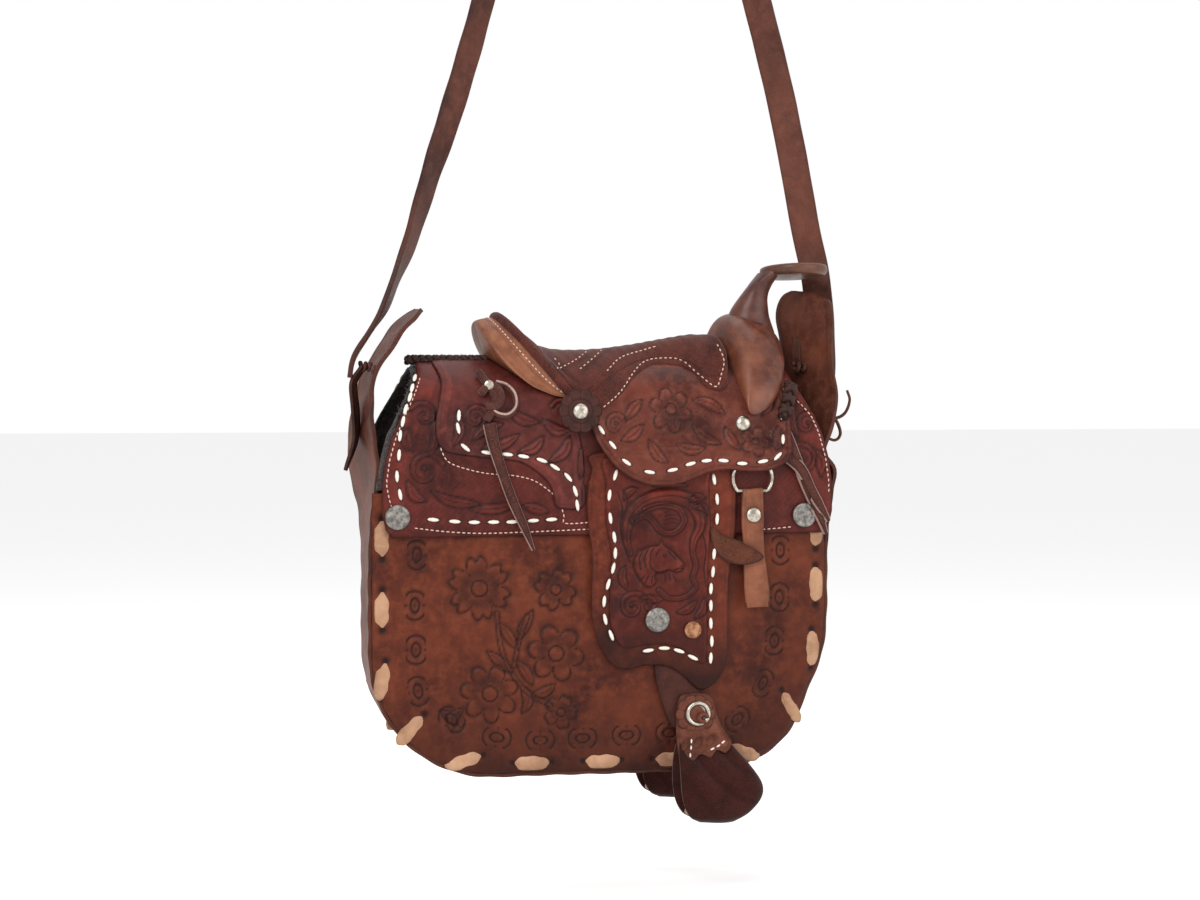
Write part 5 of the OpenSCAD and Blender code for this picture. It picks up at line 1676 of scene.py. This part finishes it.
def rosette(name, x, y, h, r, stuff, nodes, rear_nodes, bodies, slot):
    """A scalloped disc of leather on the front, and the same one behind."""
    petals = 10

    def carve(work):
        dx, dh = work.x - x, work.h - h
        rho, a = np.hypot(dx, dh), np.arctan2(dh, dx)
        between = np.abs(np.sin(a * petals / 2 + math.pi / 2)) * rho * 0.35
        work.cut(between + 9 * (rho < r * 0.55), 0.4, 0.4, 0.6)
        work.cut(rho - r * 0.55, 0.5, 0.4, 0.6)
        work.cut(rho - r * 0.82, 0.4, 0.2, 0.3)
        sheet_edge(work, work.edge, 0.8, 0.5)
        work.lift += 0.7 * np.cos(np.clip(rho / r, 0, 1) * math.pi / 2)

    made = cut_sheet(name, scallops(x, h, r, petals), 0.5, before(-y, 0), 1.8, carve)
    made.data.materials.append(stuff)
    behind(made, name + "_behind", *rear_nodes, slot=slot, body=bodies[1])
    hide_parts(*nodes)
    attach(made, bodies[0])


dark_rosette = leather("dark_rosette_leather", "#46241e", "#2c1613", "#5a332b", rough=0.5)
tan_rosette = leather("tan_rosette_leather", "#6f3d2d", "#46241b", "#84503c", rough=0.48)
rosette("cantle_rosette", rosette_x, rosette_y - 1.6, rosette_h, 13.2, dark_rosette, ["rosettes"], [],
        ("bag", "bag"), "rosette_leather")
backing_line = resample([(rosette_x, rosette_y + d, rosette_h) for d in (0.5, 5, 10, 15)], 1.0)
backing = tube("rosette_backing", [backing_line], 7.0, sides=20)
backing.data.materials.append(dark_rosette)
behind(backing, "rosette_backing_behind", slot="rosette_leather", body="bag")
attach(backing, "bag")
rosette("stirrup_rosette_disc", 55.5, -46.6, 33.4, 12.2, tan_rosette, ["stirrup_rosette_front"],
        ["stirrup_rosette_rear"], ("stirrup_front", "stirrup_rear"), "rosette_leather")
knot_curve = [(60 + 2.6 * math.cos(a), -48.2 - 0.25 * a, 31.5 + 2.2 * math.sin(a))
              for a in np.linspace(0, 5.2, 24)]
thong_knot = tube("concho_thong_knot", [knot_curve], 1.35)
thong_knot.data.materials.append(tan_rosette)
behind(thong_knot, "concho_thong_knot_behind", slot="string_leather", body="stirrup_rear")
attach(thong_knot, "stirrup_front")


# Cinch ring: a bent nickel wire under the jockey. Latigo: a soft tan strap folded on it and riveted,
# whose tail runs behind a dark band that comes through the fender's slot.
ring_x = 91
ring_h = 176
ring_y = -46
ring_r = 12.2
turns = np.radians(np.linspace(-40, 220, 60))
arc = [(ring_x + ring_r * math.cos(a), ring_y, ring_h + ring_r * math.sin(a)) for a in turns]
bar = [(ring_x - x, ring_y, 168.2) for x in np.linspace(-9.4, 9.4, 12)]
cinch_ring = tube("cinch_ring_wire", [resample(arc + bar[::-1], 0.8)], 1.2, sides=12)
cinch_ring.data.materials.append(nickel)
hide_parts("cinch_ring")
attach(cinch_ring, "flap")

latigo_hide = leather("soft_latigo_leather", "#84503a", "#5b3324", "#966148", rough=0.56)
band_hide = suede("brown_band_suede", "#5c3224", "#3c2018", "#744733")
latigo_route = [(ring_x + 0.6, -43.7, 146), (ring_x + 0.3, -43.6, 156)] + [
    (ring_x, ring_y + 2.4 * math.cos(a), 168 + 2.4 * math.sin(a)) for a in np.linspace(0, math.pi, 9)] + [
    (ring_x - 0.3, -48.5, 158), (ring_x - 0.2, -48.6, 146), (ring_x + 0.5, -48.4, 134),
    (ring_x + 1.5, -47.2, 124), (ring_x + 2.5, -46.9, 112), (ring_x + 3.2, -46.8, 102),
    (ring_x + 3.4, -46.7, 97.5)]
route = resample(latigo_route, 1.2)
share = np.linspace(0, 1, len(route))
wide = 13.2 + 0.5 * np.sin(share * 17) + 2.2 * np.clip((share - 0.72) / 0.2, 0, 1)
wide = np.where(share > 0.975, wide * 0.9, wide)


def crease_and_shade_latigo(work, half, whole):
    gap = half - np.abs(work.x)
    work.cut(gap - 1.6, 0.5, 0.2, 0.35)
    work.lift += 0.25 * np.sin(work.h * 0.5 + work.x * 0.3)
    # Painted shade where the latigo passes under the cross band.
    work.darken(0.4 * np.exp(-((work.h - whole * 0.63) / 5) ** 2))


latigo = ribbon("latigo_strap", route, (-1, 0, 0), wide, 1.6, rows=14,
                carve=crease_and_shade_latigo)
latigo.data.materials.append(latigo_hide)
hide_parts("latigo_front")
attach(latigo, "fender_front")
band_edge = seen([(709, 528), (722, 536), (742, 545), (760, 556), (758, 562), (744, 566), (728, 564),
                  (716, 556), (710, 546)], 606)


def carve_band(work):
    sheet_edge(work, work.edge, 1.0, 0.4)
    work.lift += 0.3 * np.sin(work.x * 0.5 + work.h * 0.8)


def over_latigo(x, h, lift):
    """A place on the cross band, which arches over the latigo."""
    x = np.asarray(x)
    rise = 3.4 * np.exp(-((x - ring_x) / 12) ** 4)
    return place(x, -(46.6 + rise + lift), h)


cross_band = cut_sheet("latigo_cross_band", band_edge, 0.9, over_latigo, 1.6, carve_band)
cross_band.data.materials.append(band_hide)
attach(cross_band, "fender_front")
latigo_rivet = turned("latigo_rivet_cap", dome_profile(4.5, 1.8), (ring_x, -49.0, 153.6), nickel)
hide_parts("latigo_rivet_front")
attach(latigo_rivet, "fender_front")


# Stirrups: each hangs on a dark leather strap. A tan neck carries the rosette, and below it a hood of
# dark suede is folded round the wooden tread, open to the rear.
hanger_edge = [(31.5, 84), (31.3, 62), (33, 50), (36, 40), (40, 30), (45, 24.6), (56, 24), (58.8, 30),
               (58.8, 84)]


def wear_hanger(work):
    sheet_edge(work, work.edge, 1.2, 0.5)
    work.cut(work.edge - 2.2, 0.5, 0.25, 0.35)
    work.lift += 0.3 * np.sin(work.h * 0.2 + work.x * 0.1)


hanger = cut_sheet("stirrup_leather_strap", hanger_edge, 1.0, before(42.3, 0), 1.9, wear_hanger)
hanger.data.materials.append(leather("dark_strap_leather", "#4a241c", "#2e1511", "#5a3026", rough=0.5))
behind(hanger, "stirrup_leather_behind", "stirrup_leather_rear", slot="strap_leather", body="fender_rear")
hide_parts("stirrup_leather_front")
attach(hanger, "fender_front")


def eased(table):
    """A smooth curve through a table of heights and values, as a function of height."""
    fine = resample(table, 0.4)
    order = np.argsort(fine[:, 0])
    return lambda h: np.interp(h, fine[order, 0], fine[order, 1])


hood_left = eased([(-30.2, 55), (-26, 48), (-16, 43.6), (0, 42.4), (12, 43.5), (22, 46)])
hood_right = eased([(-30.2, 78), (-26, 87), (-18, 93.4), (-9, 94.6), (2, 88), (12, 79.5), (22, 71)])
hood_deep = eased([(-30.2, 6), (-27, 10.5), (-18, 12.6), (-4, 12.2), (8, 8.5), (16, 4), (22, 1.3)])
hood_mid = eased([(-30.2, -53.2), (-10, -53.2), (2, -52.4), (12, -49), (22, -45)])


hood_low_h = -30.2
hood_high_h = 22


def hood_at(u, v):
    """Round the hood from its near rear edge over the toe to its far one, and up from its sole."""
    h = hood_low_h + (hood_high_h - hood_low_h) * v
    a = (u - 0.5) * math.pi
    left, right, deep = hood_left(h), hood_right(h), hood_deep(h)
    x = left + (right - left) * np.maximum(np.cos(a), 0) ** 0.6
    y = hood_mid(h) + deep * np.sign(np.sin(a)) * np.abs(np.sin(a)) ** 0.72
    return np.stack([x, y, h], axis=-1)


def fold_and_shade_hood(work):
    # Creases pressed in, with painted shade along each one.
    for crease, deep in (([(50, 20), (58, 4), (74, -12), (90, -20)], 2.0),
                         ([(66, 18), (76, 6), (88, -2)], 1.5), ([(46, 8), (50, -8), (62, -24)], 1.2)):
        gap, share = work.near(resample(crease, 1.5))
        work.lift -= deep * np.exp(-(gap / 3.2) ** 2) * np.sin(math.pi * np.clip(share * 0.9 + 0.08, 0, 1))
        work.darken(0.35 * np.exp(-(gap / 2.0) ** 2))
    work.lift += 0.6 * np.sin(work.x * 0.16 + work.h * 0.11)
    # Painted shade along the hood's sole.
    work.darken(0.3 * np.exp(-(work.h + 30) / 5))


hood_stuff = suede("dark_hood_suede", "#35130e", "#200a07", "#4b221a")
hood = formed("stirrup_hood_folded", 80, 60, hood_at, thick=2.0, carve=fold_and_shade_hood)
hood.data.materials.append(hood_stuff)
behind(hood, "stirrup_hood_behind", "stirrup_hood_rear", slot="hood_leather", body="stirrup_rear")
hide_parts("stirrup_hood_front")
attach(hood, "stirrup_front")
neck_edge = [(43, 9), (43.2, 20), (44.4, 32), (45.4, 42), (49, 45.6), (61, 45.8), (66.5, 43), (68.8, 35),
             (72.5, 26), (77, 17), (72, 11.5), (67, 13), (62, 9), (56.5, 11), (51, 7.5), (47, 10)]


def over_neck(x, h, lift):
    """A place on the stirrup's neck: on the hood below, and upright above."""
    x = np.asarray(x, float)
    h = np.asarray(h, float)
    on_hood = np.clip(h, -30, hood_high_h)
    at_hood = hood_mid(on_hood) - hood_deep(on_hood) - 0.9
    front = np.where(h < hood_high_h, at_hood, np.interp(h, [hood_high_h, 28], [-47.2, -44.9]))
    return place(x, front - lift, h)


def carve_neck(work):
    sheet_edge(work, work.edge, 1.2, 0.5)
    work.cut(work.edge - 2.0, 0.5, 0.3, 0.45)
    for x, h in ((48, 16), (56, 17), (64, 18)):
        work.leaf([(x - 2.5, h - 3), (x, h), (x + 2.8, h + 2.6)], 1.6)


neck = cut_sheet("stirrup_neck", neck_edge, 0.9, over_neck, 1.7, carve_neck)
neck.data.materials.append(tan_rosette)
behind(neck, "stirrup_neck_behind", slot="rosette_leather", body="stirrup_rear")
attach(neck, "stirrup_front")
neck_stitches = thread("neck_stitches", run_of([(51, 14.5), (49.5, 10.5), (52, 18)]) + run_of(
    [(64, 13.5), (68, 15), (71.5, 17)]), over_neck, 3.4, 1.2, 0.6, bold_lace, 0.2)
behind(neck_stitches, "neck_stitches_behind", slot="lace", body="stirrup_rear")
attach(neck_stitches, "stirrup_front")


# Saddle strings: thin dark thongs with pale flesh edges. One is knotted through the overlay behind the
# cantle, two hang from a plaited knot beside the swell, and all end in points.
def laid(name, path, widths, to_place, thick, stuff, lift, wave):
    """A thong laid along a path on a surface."""
    line = resample(path, 1.2)
    flat = np.full(len(line), lift + thick / 2) + wave * np.sin(np.linspace(0, 9, len(line))) ** 2
    base = np.array(to_place(line[:, 0], line[:, 1], flat)) / MM
    out = np.array(to_place(line[:, 0], line[:, 1], flat + 1)) / MM - base
    base[:, 2] += strap_top_h
    across = np.cross(out, np.gradient(base, axis=0))
    wide = np.interp(np.linspace(0, 1, len(line)), np.linspace(0, 1, len(widths)), widths)
    made = ribbon(name, base, across, wide, thick,
                  carve=lambda work, half, whole: sheet_edge(work, half - np.abs(work.x), 0.8, 0.4))
    made.data.materials.append(stuff)
    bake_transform(made)
    return made


string_hide = suede("dark_string_leather", "#4d2a24", "#331a17", "#6e463c")
pale_flesh = suede("pale_flesh_side", "#b3958b", "#8a6c62", "#c9b0a6")
back_string = unrolled(seen([(487, 424), (491, 444), (499, 470), (508, 496), (520, 524), (530, 549)],
                            string_mid))
back_widths = [6.4, 5.4, 4.6, 4.6, 3.6, 0.8]
string_back = laid("back_string", back_string, back_widths, over_skirt(1.8), 1.4, string_hide, 0.6, 0.5)
laid("back_string_flesh", back_string, [w + 1.3 for w in back_widths], over_skirt(1.8), 0.9, pale_flesh,
     0.1, 0.5)
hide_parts("flap_string")
front_one = unrolled(seen([(777, 428), (772, 436), (774, 447), (784, 457), (798, 470), (809, 491), (818, 508),
                           (827, 523)], string_mid))
front_two = unrolled(seen([(783, 428), (789, 446), (797, 466), (803, 484), (813, 506), (825, 536)],
                          string_mid))
for name, path, widths, lift in (("front_string_one", front_one, [3.6, 4.6, 5, 4.6, 4.2, 1.2], 1.9),
                                 ("front_string_two", front_two, [3.6, 4.4, 4.6, 4.4, 3.8, 1.2], 0.4)):
    laid(name, path, widths, over_bag, 1.2, string_hide, lift + 0.7, 1.2)
    laid(name + "_flesh", path, [w + 2.0 for w in widths], over_bag, 0.8, pale_flesh, lift, 1.2)


def coil_round(axis, r, turns_n, count=160):
    """A helix round a bent axis, for a thong wound round itself."""
    fine = resample(axis, 0.4)
    share = np.linspace(0, 1, count)
    row = share * (len(fine) - 1)
    spots = np.stack([np.interp(row, np.arange(len(fine)), fine[:, k]) for k in range(3)], axis=-1)
    along = np.gradient(spots, axis=0)
    along /= np.linalg.norm(along, axis=1)[:, None]
    side = np.cross(along, [0.0, 1.0, 0.0])
    side /= np.linalg.norm(side, axis=1)[:, None]
    out = np.cross(side, along)
    a = 2 * math.pi * turns_n * share
    return spots + r * (side * np.cos(a)[:, None] + out * np.sin(a)[:, None])


knot_r = 49.5
knot_axis = [(x, -math.sqrt(knot_r ** 2 - (h - arch_h) ** 2), h)
             for x, h in ((117, 233), (114.5, 226), (112, 219), (110, 213))]
plaited = [coil_round(knot_axis, 2.7, 3.4), coil_round(knot_axis, -2.7, -3.4), resample(knot_axis, 1.0)]
swell_knot = tube("swell_knot_plaited", plaited, 1.75, sides=8)
swell_knot.data.materials.append(dark_thong)
behind(swell_knot, "swell_knot_behind", slot="string_leather", body="bag")
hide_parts("saddle_knots")
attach(swell_knot, "bag")


def on_overlay(points, off):
    """Places laid on the overlay as whole points, a distance off it."""
    flat = np.array(unrolled(points))
    spots = np.array(over_skirt(1.8)(flat[:, 0], flat[:, 1], np.full(len(flat), off))) / MM
    return spots + [0, 0, strap_top_h]


roll_path = on_overlay(seen([(481, 378), (486, 386), (492, 395), (494, 404), (489, 414), (484, 421)],
                            string_mid), 2.4)
roll_two = on_overlay(seen([(480, 398), (487, 392), (496, 393), (499, 402), (493, 410), (484, 409)],
                           string_mid), 3.6)
string_roll = tube("overlay_knot", [resample(roll_path, 0.9), resample(roll_two, 0.9)], 2.4, sides=10)
string_roll.data.materials.append(string_hide)
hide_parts("string_knot")
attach(string_roll, "bag")
loop_path = on_overlay(seen([(496, 388), (506, 391), (513, 399), (513, 410), (505, 417), (495, 416),
                             (487, 410)], string_mid), 3.0)
loop = tube("overlay_knot_loop", [resample(loop_path, 0.9)], 1.5, sides=8)
loop.data.materials.append(string_hide)
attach(loop, "bag")
loop_edge = tube("overlay_knot_loop_edge", [resample(loop_path + [0, -1.2, 1.0], 0.9)], 0.75, sides=6)
loop_edge.data.materials.append(pale_flesh)
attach(loop_edge, "bag")
knot_middle = on_overlay(seen([(488, 392), (489, 393)], string_mid), 5.2)[0]
knot_rivet = turned("overlay_knot_rivet", dome_profile(3.0, 1.4), knot_middle, nickel)
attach(knot_rivet, "bag")


# Shoulder strap: one long band of smooth brown leather, creased along its edges, which twists on its
# way over the top. Rolled thongs tie its ends through the slits of the tabs, and their tails curl. A
# short tongue of the strap shows in the right tab's slit.
pivot_h = 243
strap_rise = strap_top_h - pivot_h - 1.5
strap_w = 18.0
strap_x_shares = [-1.04, -1.02, -0.955, -0.893, -0.845, -0.785, -0.69, -0.597, -0.446, -0.28, -0.12, 0,
                  0.2, 0.44, 0.675, 0.852, 0.942, 1.014, 1.055, 1.06, 1.058, 1.055, 1.052]
strap_y_shares = [0, 0, 0, 0, 0, 0, 0, 0.02, 0.05, 0.05, 0.02, 0,
                  0.02, 0.06, 0.14, 0.25, 0.32, 0.35, 0.31, 0.17, 0.06, -0.02, -0.04]
strap_h_shares = [-0.018, 0.012, 0.048, 0.083, 0.128, 0.184, 0.29, 0.39, 0.572, 0.773, 0.924, 1,
                  0.965, 0.868, 0.673, 0.471, 0.345, 0.219, 0.151, 0.093, 0.048, 0.008, -0.015]
strap_turns = [-8, -8, -10, -16, -20, -30, -42, -53, -50, -35, -10, 0,
               10, 30, 50, 62, 68, 72, 72, 60, 45, 36, 33]
strap_rows = [(x * half_w, y * half_d, pivot_h + h * strap_rise, turn)
              for x, y, h, turn in zip(strap_x_shares, strap_y_shares, strap_h_shares, strap_turns)]
strap_band = resample(strap_rows, 2.4)
turn = np.radians(strap_band[:, 3])
strap_across = np.stack([-np.sin(turn), np.cos(turn), 0 * turn], axis=-1)


def crease_strap(work, half, whole):
    gap = half - np.abs(work.x)
    work.cut(gap - 2.2, 0.5, 0.3, 0.5)
    work.lift += 0.35 * np.sin(work.h * 0.05) + 0.2 * np.sin(work.h * 0.19 + work.x * 0.15)
    work.darken(0.25 * np.sin(work.h * 0.021) ** 8)


strap = ribbon("shoulder_strap_leather", strap_band[:, :3], strap_across,
               np.full(len(strap_band), strap_w), 3.0, rows=12, carve=crease_strap)
strap.data.materials.append(leather("brown_strap_leather", "#5f3529", "#3d211b", "#734538", rough=0.46))
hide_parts("shoulder_strap")
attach(strap, "strap")
thong_hide = leather("rolled_thong_leather", "#56332a", "#36201b", "#6b463a", rough=0.55)
left_tail = resample([(-141, 0, 244, 9), (-147.3, 0, 233.5, 12), (-146.2, 0, 217, 12), (-146.4, 0, 199, 9),
                      (-152, 0, 181, 2.5)], 1.5)
tail = ribbon("strap_tail_left", left_tail[:, :3], (0.42, 0.9, 0), left_tail[:, 3], 2.0, carve=crease_strap)
tail.data.materials.append(thong_hide)
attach(tail, "strap")
rods = [coil_round([(-141, 0, pivot_h), (-138, 0, pivot_h), (-134, 0, pivot_h)], 2.2, 2.2, 80),
        coil_round([(129.5, 0, pivot_h), (138, 0, pivot_h), (147.5, 0, pivot_h)], 2.2, 4.5, 120)]
curls = [[(149, -2.7, 243), (151, -2.7, 228), (150, -2.7, 214), (155, -2.7, 211), (162, -2.7, 214),
          (165.3, -2.7, 222), (163.6, -2.7, 228.5)],
         [(148.5, 2.7, 241), (151, 2.7, 224), (154, 2.7, 215), (159, 2.7, 208), (160.9, 2.7, 201),
          (157, 2.7, 197.2), (148.4, 2.7, 201)]]
thongs = tube("strap_thongs_rolled", rods + [resample(curl, 1.0) for curl in curls], 1.5, sides=9, taper=0.45)
thongs.data.materials.append(thong_hide)
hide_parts("strap_thongs")
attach(thongs, "strap")
tongue_spots = [(133.6, 4.9, 264.5), (131.6, 3.7, 260), (130.8, 3.2, 252), (131.2, 3.4, 245),
                (133.2, 4.7, 238.5)]
tongue_route = resample(tongue_spots, 1.0)
tongue_wide = np.interp(np.linspace(0, 1, len(tongue_route)), [0, 0.2, 0.5, 0.8, 1], [2.4, 4.6, 6.2, 6.4, 5])
tongue = ribbon("strap_tongue_right", tongue_route, (-0.545, 0.84, 0), tongue_wide, 2.0, crown=0.7)
tongue.data.materials.append(thong_hide)
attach(tongue, "strap")


# Inside: a dark grey fleece under the skirt that shows as fuzz along its edges, a thin suede lining in
# the bag, the wooden tree and treads, and the snap studs.
rng = np.random.default_rng(7)
fleece_r = 38.5
ridge_tufts = 260
all_tufts = 420


def fleece_shape(u, v):
    """The fleece under the front of the skirt."""
    hu = 170 + v * (over_ridge - 170)
    h = height_at(hu)
    x = (2 * u - 1) * np.minimum(skirt_half(h) + 0.5, 140.5) + skirt_shift * 0.5

    def to_place(lift):
        lumps = 0.5 * np.sin(x * 0.9 + hu * 0.4) * np.sin(hu * 0.8 - x * 0.35)
        return over_bag(x, hu, lift + lumps - 3.4)
    return x, hu, to_place


def fleece_material():
    """Short matted wool: grey, dull, in small curls."""
    material = suede("grey_fleece", "#4a4441", "#2b2624", "#7a7370")
    tree = material.node_tree
    bump = next(n for n in tree.nodes if n.type == "BUMP")
    bump.inputs["Distance"].default_value = 0.9 * MM
    return material


fleece_stuff = fleece_material()
fleece = leather_sheet("fleece_under_skirt", 150, 50, fleece_shape, 1.6)
fleece.data.materials.append(fleece_stuff)
behind(fleece, "fleece_under_rear_skirt", slot="fleece", body="bag")
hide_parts("fleece")
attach(fleece, "bag")
tufts = []
for k in range(all_tufts):
    if k < ridge_tufts:
        x = rng.uniform(-113, -58)
        start = np.array([x, rng.uniform(-5, 5), arch_h + skirt_r + 0.5])
        way = np.array([rng.normal(0, 0.7), rng.normal(0, 0.8), rng.uniform(0.5, 1.3)])
    else:
        turn_at = rng.uniform(0.05, 1.1)
        h = arch_h + fleece_r * math.sin(turn_at)
        start = np.array([skirt_shift - float(skirt_half(h)), -fleece_r * math.cos(turn_at), h])
        way = np.array([-rng.uniform(0.5, 1.2), rng.normal(0, 0.7), rng.normal(0, 0.7)])
    bend = rng.normal(0, 0.8, 3)
    tufts.append(start + np.array([0 * way, way * 0.9 + bend * 0.3, way * 1.5 + bend, way + bend * 1.6]))
fuzz = tube("fleece_tufts", tufts, 0.5, sides=4, taper=0.7)
fuzz.data.materials.append(fleece_stuff)
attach(fuzz, "bag")


def lining_shape(sign):
    """The lining of the front panel, or the back one's."""
    def shape_at(u, v):
        h = 3.2 + v * 160
        x = (2 * u - 1) * (panel_half(h) - 3.4)

        def to_place(lift):
            sag = 0.4 * np.sin(x * 0.05) * np.sin(h * 0.06)
            return place(tuck(x, sign * half_d, h), sign * (half_d - panel_t - 0.9 + sag + lift), h)
        return x, h, to_place
    return shape_at


lining_stuff = suede("brown_lining_suede", "#6a4c3c", "#4a342a", "#806252")
lining_front = leather_sheet("lining_front", 60, 40, lining_shape(-1), 0.8)
lining_back = leather_sheet("lining_back", 60, 40, mirrored(lining_shape(1)), 0.8)
inner_band = resample([(x, h) for x, h, w, t in rows if h < 166], 3.0)
middle = np.array([0.0, 80.0])
pull = middle - inner_band
pull /= np.linalg.norm(pull, axis=1)[:, None]
inner_line = np.stack([inner_band[:, 0], 0 * inner_band[:, 0], inner_band[:, 1]], axis=-1)
inner_line[:, [0, 2]] += pull * 2.6
lining_band = ribbon("lining_band", inner_line, (0, -1, 0), np.full(len(inner_line), 68.0), 0.8, rows=8,
                     bent=tuck)
for made in (lining_front, lining_back, lining_band):
    made.data.materials.append(lining_stuff)
    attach(made, "bag")
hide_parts("lining")


def wood(name, colour, deep):
    """Plain dry wood with long grain."""
    material, tree, out = new_material(name)
    long_way = add(tree, "ShaderNodeMapping", {"Vector": object_places(tree), "Scale": (0.12, 1.0, 1.0)})
    grain = noise(tree, long_way.outputs[0], 1.6, 5.0, Distortion=0.8)
    tone = mixed(tree, grain, linear(deep), linear(colour))
    surface(tree, out, tone, 0.62, bumped(tree, grain, 0.4, 0.2))
    return material


plain_wood = wood("plain_wood", "#b08a62", "#7d5b3d")


def tread_at(u, v):
    """A rounded wooden bar across the stirrup."""
    a = 2 * math.pi * u
    end = np.sqrt(np.maximum(1 - np.abs(2 * v - 1) ** 6, 0))
    return np.stack([61 + 13 * np.sign(np.cos(a)) * np.abs(np.cos(a)) ** 0.5 * end, -53.2 + 17 * (v - 0.5),
                     -24.4 + 2.4 * np.sign(np.sin(a)) * np.abs(np.sin(a)) ** 0.6 * end], axis=-1)


tread = formed("stirrup_tread_bar", 36, 20, tread_at)
tread.data.materials.append(plain_wood)
behind(tread, "stirrup_tread_behind", "stirrup_tread_rear", slot="wood", body="stirrup_rear")
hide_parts("stirrup_tread_front")
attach(tread, "stirrup_front")
for node_name, stuff in (("saddle_tree", plain_wood), ("snap_studs", old_nickel)):
    for holder in frame["nodes"][node_name].material_slots:
        holder.material = stuff
